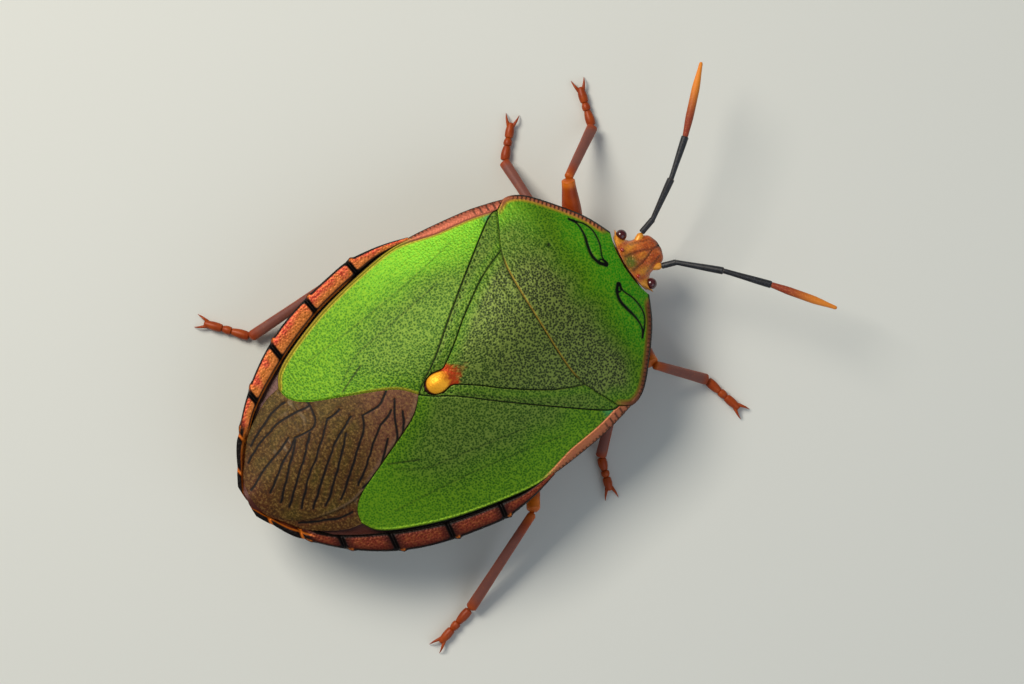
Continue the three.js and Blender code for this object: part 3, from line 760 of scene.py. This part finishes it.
def finish_clavus(x, y, u, v):
    """The strip beside the scutellum: pitted, with a row of small dark dents along its outer seam."""
    inner = distance(x, y, scutellum_side)
    outer = distance(x, y, claval_suture)
    front = distance(x, y, clavus_front)
    edge = np.minimum(np.minimum(inner, outer), front)
    pit = punctures(x, y, 0.18, 0.052, 6)
    row = hump(outer, 0.2, 0.05) * hump(np.sin(y * 16), 1, 0.5)
    z = roof(x, y) + 0.05 * hump(inner, 0.5, 0.3) - rolled(edge) - PIT_DEPTH * pit - 0.03 * row
    marks = blank(x, disc=0.65 - 0.3 * ease(8, 6.3, y) - 0.3 * hump(inner, 0.3, 0.25),
                  bright=0.2 * hump(inner, 0.3, 0.2) * ease(13, 9, y),
                  ink=np.maximum(np.maximum(ease(0.07, 0.02, outer), 0.8 * row), ease(0.055, 0.015, inner)))
    return z, marks


# Veins of a corium, and how strongly each of them shows
CORIUM_VEINS = [
    line([(6.9, 9.5), (6.2, 13), (5.7, 16.6), (5.3, 21)]),
    line([(5.2, 11.5), (4.45, 15.8), (4.05, 18), (3.05, 19.7)]),
    line([(3.4, 18.1), (3.0, 19.0), (2.6, 19.9)]),
]
CORIUM_VEIN_STRENGTH = (0.35, 0.4, 0.8)


def corium_finish(seed, light):
    """Finish of a corium: pitted, with faint veins and a raised strip along its front margin. light is 1 on
    the side where the light falls and 0.5 on the other, and sets painted light and shade: on the lit side
    the green is brighter, the disc lighter and the margin's gold and salmon stronger."""
    def finish(x, y, u, v):
        costa = distance(x, y, costal_margin)
        suture = distance(x, y, claval_suture)
        apex = distance(x, y, apical_margin)
        edge = np.minimum(np.minimum(costa, suture), apex)
        pit = punctures(x, y, 0.18, 0.05, seed)
        vein = 0
        for path, share in zip(CORIUM_VEINS, CORIUM_VEIN_STRENGTH):
            vein = np.maximum(vein, share * hump(distance(x, y, path), 0, 0.055))
        wave = 0.5 * wander(x, y, 1.4, seed + 3)
        # Painted reflection: dark olive on the disc. Painted light: the disc is lighter and the green
        # brighter on the lit side.
        disc = ease(1.2, 4.2, costa + wave) * ease(21.5, 15.5, y + wave) * ease(0.0, 1.6, apex)
        bright = mix(0.4, 1.0, light) * ease(3.6, 1.0, costa + wave) * ease(7, 9, y)
        bright = bright + mix(0.8, 1.0, light) * ease(17, 21.5, y)
        # Painted light: the glow lies on the lit side, with a little near the apex of the shaded one
        glow = ease(3.4, 0.6, costa + wave) * ease(18, 11, y) * ease(6.4, 7.6, y) * (2 * light - 1)
        glow = glow + 0.3 * (1 - light) * ease(18, 22, y)
        band = mix(0.62, 0.17, ease(9.5, 12.8, y))
        strip = ease(band + 0.05, band - 0.05, costa)
        z = roof(x, y) + 0.1 * hump(costa, band / 2, band / 2) - rolled(edge)
        z = z - PIT_DEPTH * pit * (1 - strip) - 0.04 * hump(costa, band, 0.06) - 0.02 * vein
        # Painted light: the margin's gold shows on the lit side only, and its salmon is stronger there
        outer_gold = strip * ease(11.3, 12.8, y) * mix(-0.6, 0.8, light)
        border_gold = 0.7 * hump(costa, band + 0.04, 0.07) + 0.6 * hump(apex, 0.08, 0.08) * ease(21, 17, y)
        gold = np.maximum(outer_gold, border_gold * (2 * light - 1))
        teeth = ease(0.0, 0.6, np.sin(y * 24)) * ease(0.18, 0.12, costa) * ease(12, 11, y)
        bars = ease(0.3, 0.9, np.sin(y * 15)) * ease(7.8, 7.0, y) * ease(0.1, 0.2, band - costa)
        ticks = np.maximum(bars, teeth)
        ink = np.maximum(ease(0.07, 0.02, costa), ease(0.055, 0.015, suture))
        ink = np.maximum(ink, np.maximum(vein * ease(0.05, 0.2, edge), 0.75 * ticks * strip))
        teal = 0.7 * ease(7.2, 6.4, y) * (1 - strip)
        salmon = strip * ease(12.8, 11, y) * mix(0.75, 1, light)
        marks = blank(x, disc=disc * mix(0.85, 0.45, light), bright=bright, glow=glow, teal=teal,
                      gold=gold, salmon=salmon, ink=ink)
        return z, marks

    return finish


shield_sheet = spread(flipped(shield_side), shield_side, across(shield_front), across(shield_back))
scutellum_sheet = spread(flipped(scutellum_side), scutellum_side, across(scutellum_front),
                         across(scutellum_end))
clavus_tip = line([(0.25, 15.45), (0.02, 15.6), (0, 16)])
clavus_sheet = spread(scutellum_side, claval_suture, clavus_front, clavus_tip)
corium_base = straight(claval_suture(0.0), costal_margin(0.0))
corium_sheet = spread(claval_suture, costal_margin, corium_base, apical_margin)

plate_piece("pronotum_shell", shield_sheet, (150, 310), finish_shield, GREEN)
plate_piece("scutellum_shell", scutellum_sheet, (200, 170), finish_scutellum, GREEN)
for side, turned in (("left", False), ("right", True)):
    plate_piece(f"clavus_{side}_shell", clavus_sheet, (230, 40), finish_clavus, GREEN, turned)
    plate_piece(f"corium_{side}_shell", corium_sheet, (300, 150),
                corium_finish(7 + turned, 0.5 if turned else 1.0), GREEN, turned)

# Wing membranes

# Veins of the left membrane, seen from above
MEMBRANE_VEINS = [line(points) for points in (
    [(1.97, 24.27), (1.57, 25.24), (1.17, 26.38), (0.44, 27.9)],
    [(1.73, 23.9), (1.11, 24.86), (0.4, 26.03), (-0.32, 26.92)],
    [(1.6, 23.95), (0.85, 24.65), (0.26, 25.28), (-1.17, 26.72)],
    [(1.5, 22.9), (0.33, 24.13), (-0.43, 25.04), (-1.68, 26.43)],
    [(1.72, 21.55), (0.39, 22.98), (-1.05, 24.76), (-2.16, 25.84)],
    [(1.1, 20.2), (0.49, 21.36), (-0.17, 22.44), (-1.5, 24.04), (-2.53, 25.24)],
    [(0.37, 21), (-0.87, 22.21), (-2.17, 23.68), (-2.77, 24.5)],
    [(0.73, 19.6), (-0.01, 20), (-1.4, 21.54), (-2.95, 23.5)],
    [(-0.32, 19), (-1.57, 20.54), (-2.74, 22.05)],
    [(-1.29, 19.03), (-2.48, 20.33), (-3.02, 21.9)],
    [(0.59, 17.42), (-0.5, 18), (-1.59, 18.55), (-2, 19.14)],
    [(-0.35, 17.34), (-1.1, 17.8), (-1.85, 18.49)],
    [(2.93, 22.1), (3.07, 23.2), (3, 24.7), (2.4, 26.4), (2, 27.2)],
    [(3.95, 23.3), (3.8, 24.4), (2.8, 26.5)],
    [(3.3, 22.1), (2.8, 22.04), (2.11, 22.19), (1.68, 22.73), (1.73, 23.9)],
    [(1.8, 20.6), (1.7, 21.1), (1.72, 21.55)],
    [(1.25, 17.6), (0.73, 18.4), (0.73, 19.6)],
    [(0.1, 17.9), (-0.2, 18.4), (-0.32, 19)],
)]


def membrane_finish(depth, seed, hidden):
    """Finish of a membrane that lies depth below the back, sunk along its veins and wrinkled between
    them. hidden is 1 for the one underneath."""
    def finish(x, y, u, v):
        px = x + 0.05 * wander(x, y, 0.5, seed)
        py = y + 0.05 * wander(x, y, 0.5, seed + 1)
        far = np.full(x.shape, np.inf)
        for path in MEMBRANE_VEINS:
            far = np.minimum(far, distance(px, py, path, 24))
        edge = np.minimum.reduce([distance(x, y, side, 60) for side in
                                  (membrane_inner, membrane_outer, membrane_tip, apical_margin)])
        vein = ease(0.11, 0.04, far)
        field = 0.03 * ease(0, 0.2, far)
        wrinkle = 0.006 * wander(px, py * 0.7, 0.12, seed + 2)
        z = roof(x, y) - depth + field + wrinkle - rolled(edge, 0.06)
        # Painted sheen: a silky shine in short streaks and a faint one along the borders, none on the
        # membrane underneath
        streaks = ease(0.35, 0.9, wander(x, y * 3.2, 0.42, seed + 3))
        streaks = streaks * ease(0.2, 0.8, wander(x, y, 1.3, seed + 4) + 0.35)
        silk = 0.3 * streaks * ease(0.9, 1.9, x) * ease(19.5, 20.6, y) * ease(26.8, 25, y)
        border = ease(0.34, 0.1, distance(x, y, membrane_inner, 60))
        border = np.maximum(border, ease(0.22, 0.06, distance(x, y, membrane_tip, 60)) * ease(26, 23, y))
        base = ease(21.2, 18.2, y + 0.4 * x) + 0.35 * border
        rust = 0.8 * ease(26.3, 27.9, y) + 0.5 * hidden + 0.4 * ease(0.35, 0.1, far)
        return z, {"vein": vein, "base": np.clip(base, 0, 1) * (1 - hidden),
                   "rust": np.clip(rust, 0, 1) * 0.6,
                   "silk": np.clip(silk + 0.1 * border * (1 - hidden), 0, 1)}

    return finish


membrane_sheet = spread(membrane_inner, membrane_outer, apical_margin, membrane_tip)
plate_piece("membrane_left_skin", membrane_sheet, (240, 280), membrane_finish(0.02, 21, hidden=0), SKIN,
            under=below_roof(0.12))
plate_piece("membrane_right_skin", membrane_sheet, (170, 200), membrane_finish(0.17, 31, hidden=1), SKIN,
            turned=True, under=below_roof(0.3))


# Abdomen, its rim plates, and thorax


def hind_corner(y):
    """Least distance along the body to the hind corner of a segment."""
    return nearest(y, [edge - 0.2 for edge in SEGMENT_EDGES[1:-2]])


def rim_sheet(u, v):
    """Plan of a row of rim plates, with a corner at each segment's end and lobes at the tail."""
    y = mix(RIM_FRONT, SEGMENT_EDGES[-1], v)
    outer = margin_half(y) + 0.1 * hump(hind_corner(y), 0, 0.16)
    lobes = 0.14 * ease(26.5, 27, y) * np.abs(np.sin((y - 26.7) * math.pi / 1.2))
    inner = np.minimum(margin_inner(y) - 0.12, outer - 0.05)
    return np.stack([mix(inner, outer + lobes, u), y], -1)


def rim_finish(seed, light):
    """Finish of a row of rim plates: crowned and pitted, with a groove and a black frame round each, whose
    inner side is a painted shadow where the plates pass under the wing. light is 1 on the side where the
    light falls and 0 on the other: the lit side gets painted gold and an amber thread of painted light, the
    other is darkened by painted shade."""
    def finish(x, y, u, v):
        slant = y - 0.15 * (u - 0.5)
        near = nearest(slant, SEGMENT_EDGES[1:-1])
        width = margin_half(y) - margin_inner(y)
        share = np.clip(width / 0.7, 0.1, 1)
        out = (1 - u) * width / share
        inn = u * width / share
        edge = np.minimum(out, inn)
        groove = hump(near, 0, 0.1)
        pit = punctures(x, y, 0.19, 0.06, seed)
        crown = 0.14 * (1 - (2 * u - 1) ** 4)
        tail = ease(25.9, 26.5, y)
        z = rim(y) + crown * (1 - 0.6 * tail) - 0.15 * groove - 0.018 * pit - rolled(edge)
        z = z - 0.3 * tail * ease(0.35, 0.8, out)
        corner = np.hypot(np.maximum(0.4 - near, 0), np.maximum(0.4 - edge, 0))
        # Painted shadow: a black line along the inner edge, where the plates pass under the wing
        painted_gap_shadow = np.maximum(hump(inn, 0.13, 0.05), ease(0.16, 0.08, inn) * ease(16.5, 15.5, y))
        ink = np.maximum(ease(0.22, 0.14, near), np.maximum(ease(0.13, 0.06, out), painted_gap_shadow))
        ink = np.maximum(ink, ease(0.22, 0.32, corner))
        lobe = tail * ease(0.46, 0.36, out) * ease(0.05, 0.11, near)
        ink = mix(ink, lobe, tail)
        knob = 0.8 * hump(out, 0.1, 0.07) * hump(hind_corner(y), 0.06, 0.08)
        outline = 0.7 * tail * np.maximum(hump(out, 0.5, 0.06), ease(0.09, 0.04, near))
        # Painted light: the amber thread along the inner edge is drawn on the lit side only
        thread = 0.8 * light * ease(0.09, 0.05, inn) * ease(15.5, 16.5, y) * (1 - tail)
        amber = np.clip(knob + outline + thread, 0, 1)
        middle = hump(u, 0.45, 0.35) * ease(0.2, 0.8, near)
        # Painted light and shade: gold on the lit side, and dark painted shade over the other side; the tail
        # lobes are dark in their own colour
        gold = mix(0.12 * middle, ease(0.8, 0.25, u + 0.4 * wander(x, y, 0.5, seed + 1)) * 0.7, light)
        dark = mix(0.95 * (1 - 0.25 * middle), 0.0, light)
        return z, {"gold": gold, "dark": np.maximum(dark, 0.7 * tail), "ink": np.clip(ink - amber, 0, 1),
                   "amber": amber}

    return finish


def under_rim(x, y):
    """Height of the under side of the rim plates."""
    return rim(y) - SHELL


for side, turned in (("left", False), ("right", True)):
    plate_piece(f"connexivum_{side}_plates", rim_sheet, (420, 44),
                rim_finish(41 + turned, 0.0 if turned else 1.0), COPPER, turned, under_rim)


def trunk_rings(start, end, half, steps, sides, lift):
    """Rings of the body: flat-topped under the wings, and curving down from the flank to the belly."""
    yy, aa = ring_grid(np.linspace(start, end, steps), sides)
    c = np.cos(aa)
    x = half(yy) * c
    side = rim(yy) - TRUNK_DROP
    top = mix(side, roof(x, yy) - TRUNK_DROP, ease(1, 0.93, np.abs(c)))
    low = mix(belly(yy), side, np.abs(c) ** 1.8) + lift(x, yy)
    return np.stack([x, yy, np.where(np.sin(aa) > 1e-6, top, low)], -1), x, yy, aa


def sternite_lift(x, y):
    """Grooves between the plates of the belly, and a slight unevenness."""
    return 0.1 * hump(nearest(y, SEGMENT_EDGES), 0, 0.12) + 0.015 * wander(x, y, 0.3, 51)


def abdomen_half(y):
    """Half-width of the abdomen, just inside the edge of its rim plates."""
    return margin_half(y) - 0.06


def abdomen_piece():
    """The abdomen, with a dark joint after each segment and a breathing hole on each side of it."""
    rings, x, y, a = trunk_rings(ABDOMEN_FRONT - 0.12, 28.45, abdomen_half, 260, 150, sternite_lift)
    near = nearest(y, SEGMENT_EDGES)
    middle = nearest(y, [(p + q) / 2 for p, q in zip(SEGMENT_EDGES, SEGMENT_EDGES[1:])])
    hole = hump(np.abs(x) / margin_half(y), 0.8, 0.02) * hump(middle, 0, 0.13)
    top = np.sin(a) > 0
    ink = np.where(top, ease(22.6, 21.6, y), np.maximum(ease(0.1, 0.03, near), hole))
    rust = np.where(top, 1.0, 0.0)
    tube_piece("abdomen_shell", rings, {"ink": ink, "rust": rust}, BELLY)


def pleura_seams(x, y, width):
    """The two seams across the thorax, which lean back towards the sides."""
    return sum(hump(y - 0.12 * np.abs(x), at, width) for at in (3.6, 7.2))


def pleura_lift(x, y):
    """Grooves along the seams of the thorax, and a slight unevenness."""
    return 0.1 * pleura_seams(x, y, 0.1) + 0.02 * wander(x, y, 0.25, 52)


def thorax_half(y):
    """Half-width of the thorax, which draws in under the shield towards the neck."""
    return roof_half(y) - mix(0.95, 0.22, ease(1.3, 3.2, y))


def thorax_piece():
    """The thorax, whose front bends back at the sides to clear the head."""
    rings, x, y, a = trunk_rings(1.2, ABDOMEN_FRONT - 0.16, thorax_half, 200, 150, pleura_lift)
    rings[..., 1] -= 0.08 * np.minimum(x * x, 4) * ease(3.5, 1.2, y)
    ink = np.where(np.sin(a) > 0, 1.0, pleura_seams(x, y, 0.07))
    tube_piece("thorax_shell", rings, {"ink": ink}, BELLY)


abdomen_piece()
thorax_piece()


# Head

HEAD_FRONT = -1.45
HEAD_BACK = 1.0
head_half = through([(HEAD_FRONT, 0.45), (-1.25, 0.82), (-0.9, 1.03), (-0.4, 1.12), (0, 1.2),
                     (HEAD_BACK, 1.75)])
head_top = through([(HEAD_FRONT, 4.5), (-0.9, 4.95), (0, 5.5), (HEAD_BACK, 6)])
head_low = through([(HEAD_FRONT, 4.15), (-0.9, 3.65), (0, 3.4), (HEAD_BACK, 3.35)])
# Middles and radii of the left eye and the left simple eye
EYE = (1.76, 0.24, 5.0)
EYE_RADIUS = 0.35
OCELLUS = (0.95, 0.7, 5.79)
OCELLUS_RADIUS = 0.13
head_furrow = line([(0.5, 0.75), (0.4, 0.1), (0.24, -0.45), (0.03, -0.9), (0, -1.4)])
head_side_furrow = line([(1.0, 0.1), (0.8, -0.5), (0.6, -1.1)])


def knob_radius(t, a):
    """Thickness of the knob that carries a feeler, rounded at its end."""
    return 0.26 * np.sqrt(np.clip(1 - t**6, 0.05, 1))


def head_piece():
    """The head as rings along Y. Its half-width, top and under side follow their profiles, with the
    stalk of each eye pushed out at the side."""
    steps, sides = 150, 180
    y = HEAD_FRONT + (HEAD_BACK - HEAD_FRONT) * np.linspace(0, 1, steps) ** 1.4
    yy, aa = ring_grid(y, sides)
    c, s = np.cos(aa), np.sin(aa)
    round_front = np.sqrt(np.clip(1 - np.clip((HEAD_FRONT + 0.3 - yy) / 0.3, 0, 1) ** 2, 0, 1))
    stalk = 0.75 * hump(yy, 0.58, 0.34) * np.abs(c) ** 3
    x = (head_half(yy) * (0.5 + 0.5 * round_front) + stalk) * c
    middle = mix(head_low(yy), head_top(yy), 0.45)
    up = s > 0
    edge = np.where(up, head_top(yy), head_low(yy))
    furrow = distance(np.abs(x), yy, head_furrow)
    side_furrow = distance(np.abs(x), yy, head_side_furrow)
    ridge = 0.08 * hump(x, 0, 0.2) * ease(0.6, 0.1, yy) * ease(-0.9, -0.4, yy) - 0.08 * hump(furrow, 0, 0.06)
    ridge = ridge + 0.07 * hump(np.abs(x), 0.55, 0.22) * ease(0, -0.6, yy)
    ridge = ridge - 0.04 * hump(side_furrow, 0, 0.06)
    seat = 0.09 * hump(np.hypot(np.abs(x) - OCELLUS[0], yy - OCELLUS[1]), 0, 0.16)
    pit = punctures(x, yy, 0.15, 0.045, 62)
    relief = np.where(up, ridge + seat - 0.02 * pit, 0) + 0.02 * wander(x, yy, 0.1, 61)
    z = middle + (edge - middle) * np.abs(s) ** 0.75 * (0.4 + 0.6 * round_front) + relief * np.abs(s)
    neck = 0.08 * x * x * ease(0.2, 1.0, yy)
    rings = np.stack([x, yy - neck, z], -1)
    knobs = []
    for side in (1, -1):
        path = line([(0.75 * side, -0.2, 4.62), (1.2 * side, -0.92, 4.55)])
        knobs.append(tube_points(path, knob_radius, 20, 30)[0])
    cheeks = np.maximum(hump(np.abs(x), 0.85, 0.22) * hump(yy, 0.25, 0.5), ease(1.2, 1.45, np.abs(x)))
    dark_front = ease(HEAD_FRONT + 0.3, HEAD_FRONT, yy) * 0.6
    lines = 0.5 * hump(furrow, 0, 0.08) + 0.35 * hump(side_furrow, 0, 0.08)
    marks = {
        "green": np.clip(hump(x - 0.05, 0, 0.5) * hump(yy, 0.65, 0.42) * 1.2, 0, 1) * up,
        "amber": np.clip(cheeks + 0.7 * hump(np.abs(x), 0.1, 0.1) * hump(yy, -0.25, 0.3), 0, 1) * 0.9,
        "ink": np.clip((lines + 0.4 * pit) * up + dark_front, 0, 1),
    }
    tube_piece("head_shell", rings, marks, HEAD, knobs)


def ball_rings(centre, radius, steps=60, sides=72):
    """Rings of a ball about an upright axis."""
    dd, aa = ring_grid(np.linspace(0.02, np.pi - 0.02, steps), sides)
    way = np.stack([np.sin(dd) * np.cos(aa), np.sin(dd) * np.sin(aa), np.cos(dd)], -1)
    return np.asarray(centre) + way * radius


head_piece()
for side, name in ((1, "left"), (-1, "right")):
    tube_piece(f"eye_{name}_ball", ball_rings((EYE[0] * side, EYE[1], EYE[2]), EYE_RADIUS), {}, LENS)
    spot = (OCELLUS[0] * side, OCELLUS[1], OCELLUS[2])
    tube_piece(f"ocellus_{name}", ball_rings(spot, OCELLUS_RADIUS, 20, 24), {}, RED, replaces=False)

beak = line([(0, -1.1, 3.75), (0, -0.85, 3.1), (0, 0.8, 2.65), (0, 2.7, 2.25)])


def beak_radius(t, a):
    """Thickness of the beak, which thins towards its tip and is drawn in at its two joints."""
    return mix(0.3, 0.16, t) * (1 - 0.25 * hump(t, 0.33, 0.02) - 0.25 * hump(t, 0.66, 0.02))


beak_rings, beak_t, _ = tube_points(beak, beak_radius, 60, 28)
tube_piece("rostrum_shell", beak_rings, {"ink": ease(0.9, 1, beak_t)}, RUST)


# Feelers

# Joints of the feelers, from the head outwards
FEELERS = {
    "left": [(1.26, -1.0, 4.55), (1.55, -1.92, 4.75), (3.08, -4.21, 5.2), (4.84, -6.32, 5.35),
             (8.21, -9.6, 5)],
    "right": [(-1.2, -0.96, 4.55), (-1.45, -1.75, 4.75), (-3.45, -3.95, 5.2), (-5.74, -6, 5.35),
              (-9.1, -8.68, 5)],
}


def feeler_radius(number):
    """Thickness along each of the four segments: a stub, two clubs that widen, and a spindle."""
    def radius(t, a):
        ends = np.clip(np.minimum(t, 1 - t) / 0.03, 0, 1) ** 0.5
        if number == 1:
            return 0.19 * (0.4 + 0.6 * ends)
        if number < 4:
            return mix(0.16, 0.23, ease(0, 1, t)) * (0.35 + 0.65 * ends)
        return (mix(0.18, 0.25, ease(0, 0.3, t)) - 0.13 * ease(0.6, 1, t)) * (0.5 + 0.5 * ends)
    return radius


for side, joints in FEELERS.items():
    for number in range(1, 5):
        a, b = np.array(joints[number - 1]), np.array(joints[number])
        middle = (a + b) / 2 + [0, 0, 0.05 * np.linalg.norm(b - a) * (number == 4)]
        ahead = (b - a) / np.linalg.norm(b - a)
        path = line([a - 0.08 * ahead, middle, b + 0.04 * ahead * (number < 4)])
        rings, t, _ = tube_points(path, feeler_radius(number), 40 + 20 * number, 28)
        if number < 4:
            marks, look = {"pale": np.clip(hump(t, 0, 0.02) + hump(t, 1, 0.015), 0, 1)}, BLACK
        else:
            marks, look = {"light": ease(0.2, 0.8, t)}, DOWN
        tube_piece(f"antenna_{side}_{number}_shell", rings, marks, look)


# Legs

HIP_X = 2.45
# Where each leg leaves the body, its knee and ankle, and the tip of its foot on the floor
LEGS = {
    "left_front": dict(hip_y=3, knee=(6.5, 1.15, 4.05), ankle=(8.5, -1.95, 0.62), toe=(11, -2.62)),
    "left_middle": dict(hip_y=6, knee=(5.35, 3.86, 3), ankle=(9.55, 3.9, 0.62), toe=(11.4, 2.25)),
    "left_hind": dict(hip_y=9.6, knee=(8.85, 15.4, 3.1), ankle=(8.65, 23.2, 0.62), toe=(10.9, 25.2)),
    "right_front": dict(hip_y=3, knee=(-6.1, 2.75, 3.9), ankle=(-8.7, 0.35, 0.62), toe=(-11.3, -0.42)),
    "right_middle": dict(hip_y=6, knee=(-6.3, 5.5, 3), ankle=(-9.3, 8.5, 0.62), toe=(-11.4, 9.15)),
    "right_hind": dict(hip_y=9.6, knee=(-9.95, 13.9, 3.9), ankle=(-13.1, 20.5, 0.62), toe=(-13.9, 23.2)),
}


def limb_radius(start, thickest, end, peak=0.5):
    """Thickness of a limb with rounded ends, thickest at a share of the way."""
    def radius(t, a):
        rise = mix(start, thickest, ease(0, peak, t))
        fall = mix(thickest, end, ease(peak, 1, t))
        return np.where(t < peak, rise, fall) * np.clip(np.minimum(t, 1 - t) / 0.03 + 0.3, 0, 1) ** 0.5
    return radius


def leg_pieces(name, hip_y, knee, ankle, toe):
    """Hip, thigh, shin and foot of one leg. The hip's height follows the curve of the belly."""
    side = math.copysign(1, knee[0])
    half = roof_half(hip_y) - 0.45
    above = mix(belly(hip_y), flank(hip_y), (HIP_X / half) ** 1.7)
    hip = np.array([HIP_X * side, hip_y, above - 1.3])
    root = np.array([(HIP_X - 0.85) * side, hip_y, above - 0.75])
    knee, ankle = np.array(knee), np.array(ankle)
    rings, t, _ = tube_points(line([root, hip]), limb_radius(0.85, 0.85, 0.5, 0.3), 40, 40)
    tube_piece(f"coxa_{name}_shell", rings, {"amber": hump(t, 1, 0.2)}, RUST)

    thigh = (knee - hip) / np.linalg.norm(knee - hip)
    path = line([hip + 0.15 * thigh, knee - 0.05 * thigh])
    rings, t, _ = tube_points(path, limb_radius(0.4, 0.62, 0.42), 90, 40)
    tube_piece(f"femur_{name}_shell", rings, {"amber": hump(t, 0.95, 0.05) + 0.3 * hump(t, 0, 0.2)}, RUST)

    shin = (ankle - knee) / np.linalg.norm(ankle - knee)
    start, end = knee + 0.08 * shin, ankle + 0.02 * shin

    def shin_radius(t, a):
        """Thickness of the shin, with a furrow along its upper side."""
        groove = 1 - 0.13 * hump(np.sin(a), 1, 0.25)
        return limb_radius(0.28, 0.31, 0.35)(t, a) * groove

    rings, t, a = tube_points(line([start, mix(start, end, 0.5), end]), shin_radius, 90, 40)
    # Painted sheen: mauve grey along the upper side of the shin
    marks = {"mauve": 0.75 * ease(0.1, 0.8, np.sin(a)) * ease(0.05, 0.3, t) * ease(1, 0.85, t),
             "amber": 0.4 * hump(t, 0, 0.06)}
    tube_piece(f"tibia_{name}_shell", rings, marks, RUST)
    foot_piece(name, ankle, np.array(toe, float))


# Start and end of each pad of a foot, as shares of its length, and its half-width
PADS = [(0.0, 0.42, 0.3), (0.4, 0.62, 0.27), (0.6, 1.02, 0.28)]
# Places of the points along a claw in mm: sideways and forward from the tip of the foot, and up
CLAW = [(0.12, -0.2, 0.3), (0.32, 0.25, 0.36), (0.42, 0.6, 0.07)]


def pad_radius(width):
    """Thickness of a pad, which swells before its middle and is rounded at both ends."""
    def radius(t, a):
        swell = 0.62 + 0.38 * np.sin(np.pi * np.clip(t * 0.8 + 0.2, 0, 1))
        return width * swell * np.clip(np.minimum(t, 1 - t) / 0.1 + 0.35, 0, 1) ** 0.5
    return radius


def claw_radius(t, a):
    """Thickness of a claw, down to a sharp tip."""
    return mix(0.13, 0.015, t)


def foot_piece(name, ankle, toe):
    """Three pads flattened against the floor, and two curved claws, as one mesh."""
    ahead = toe - ankle[:2]
    ahead = ahead / np.linalg.norm(ahead)
    aside = np.array([-ahead[1], ahead[0]])
    heel = ankle[:2] + ahead * 0.1
    parts = []
    for low, high, width in PADS:
        p, q = heel + (toe - heel) * low, heel + (toe - heel) * high
        path = line([(*p, 0.34), (*((p + q) / 2), 0.33), (*q, 0.3)])
        parts.append(tube_points(path, pad_radius(width), 34, 30)[0])
    for turn in (1, -1):
        path = line([(*(toe + aside * out * turn + ahead * on), up) for out, on, up in CLAW])
        parts.append(tube_points(path, claw_radius, 24, 16)[0])
    for rings in parts:
        rings[..., 2] = np.maximum(rings[..., 2], 0.0)
    tube_piece(f"tarsus_{name}_shell", parts[0], {}, RUST, parts[1:])


for leg_name, leg in LEGS.items():
    leg_pieces(leg_name, **leg)


# Camera, lights and floor

# Turn of the picture about the upright, middle and width of the view in mm, and the lens in mm
TURN = math.radians(31.9)
VIEW_CENTRE = np.array([-0.28, 9.45, 6.0])
VIEW_WIDTH = 63.0
FOCAL_LENGTH = 157.0
SENSOR = 36.0


def from_body(x, y, z):
    """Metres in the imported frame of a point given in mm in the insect's own frame."""
    return tuple(np.array([x, y, z]) * MM + ORIGIN)


def set_camera():
    """Looks straight down, turned so that the insect lies in the frame as it does in the photo."""
    data = bpy.data.cameras.new("camera")
    data.lens = FOCAL_LENGTH
    data.sensor_width = SENSOR
    data.clip_start = 0.01
    camera = bpy.data.objects.new("camera", data)
    bpy.context.scene.collection.objects.link(camera)
    right = np.array([-math.sin(TURN), -math.cos(TURN), 0])
    up = np.array([math.cos(TURN), -math.sin(TURN), 0])
    back = np.cross(right, up)
    away = VIEW_WIDTH * FOCAL_LENGTH / SENSOR
    place = from_body(*(VIEW_CENTRE + back * away))
    camera.matrix_world = Matrix([[right[k], up[k], back[k], place[k]] for k in range(3)] + [[0, 0, 0, 1]])
    bpy.context.scene.camera = camera


def add_light(name, place, size_mm, power, colour):
    """A square lamp at a place in mm that shines on the middle of the insect."""
    data = bpy.data.lights.new(name, "AREA")
    data.size = size_mm * MM
    data.energy = power
    data.color = linear(colour)[:3]
    lamp = bpy.data.objects.new(name, data)
    bpy.context.scene.collection.objects.link(lamp)
    spot = Vector(from_body(*place))
    aim = Vector(from_body(0, 12, 5))
    lamp.location = spot
    lamp.rotation_euler = (aim - spot).to_track_quat("-Z", "Y").to_euler()


# Half of the floor's side, and how far it lies below the soles, in metres
FLOOR_HALF = 0.6
FLOOR_DROP = 0.00002


def set_stage():
    """A matt paper floor, a pale sky, and a warm key and a cool fill lamp."""
    mesh = bpy.data.meshes.new("floor")
    signs = [(-1, -1), (1, -1), (1, 1), (-1, 1)]
    corners = [(x * FLOOR_HALF, y * FLOOR_HALF, -FLOOR_DROP) for x, y in signs]
    mesh.from_pydata(corners, [], [(0, 1, 2, 3)])
    floor = bpy.data.objects.new("floor", mesh)
    bpy.context.scene.collection.objects.link(floor)
    paper = Finish("matte_paper", "d9dcd6")
    mesh.materials.append(paper.done(0.9))
    world = bpy.data.worlds.new("studio")
    world.use_nodes = True
    world.node_tree.nodes["Background"].inputs[0].default_value = linear("cfd8e0")
    world.node_tree.nodes["Background"].inputs[1].default_value = 0.3
    bpy.context.scene.world = world
    add_light("key", (150, 50, 190), size_mm=110, power=0.52, colour="fff6ea")
    add_light("fill", (-160, -40, 170), size_mm=200, power=0.12, colour="eaf2ff")
    bpy.context.scene.view_settings.view_transform = "Standard"


set_camera()
set_stage()
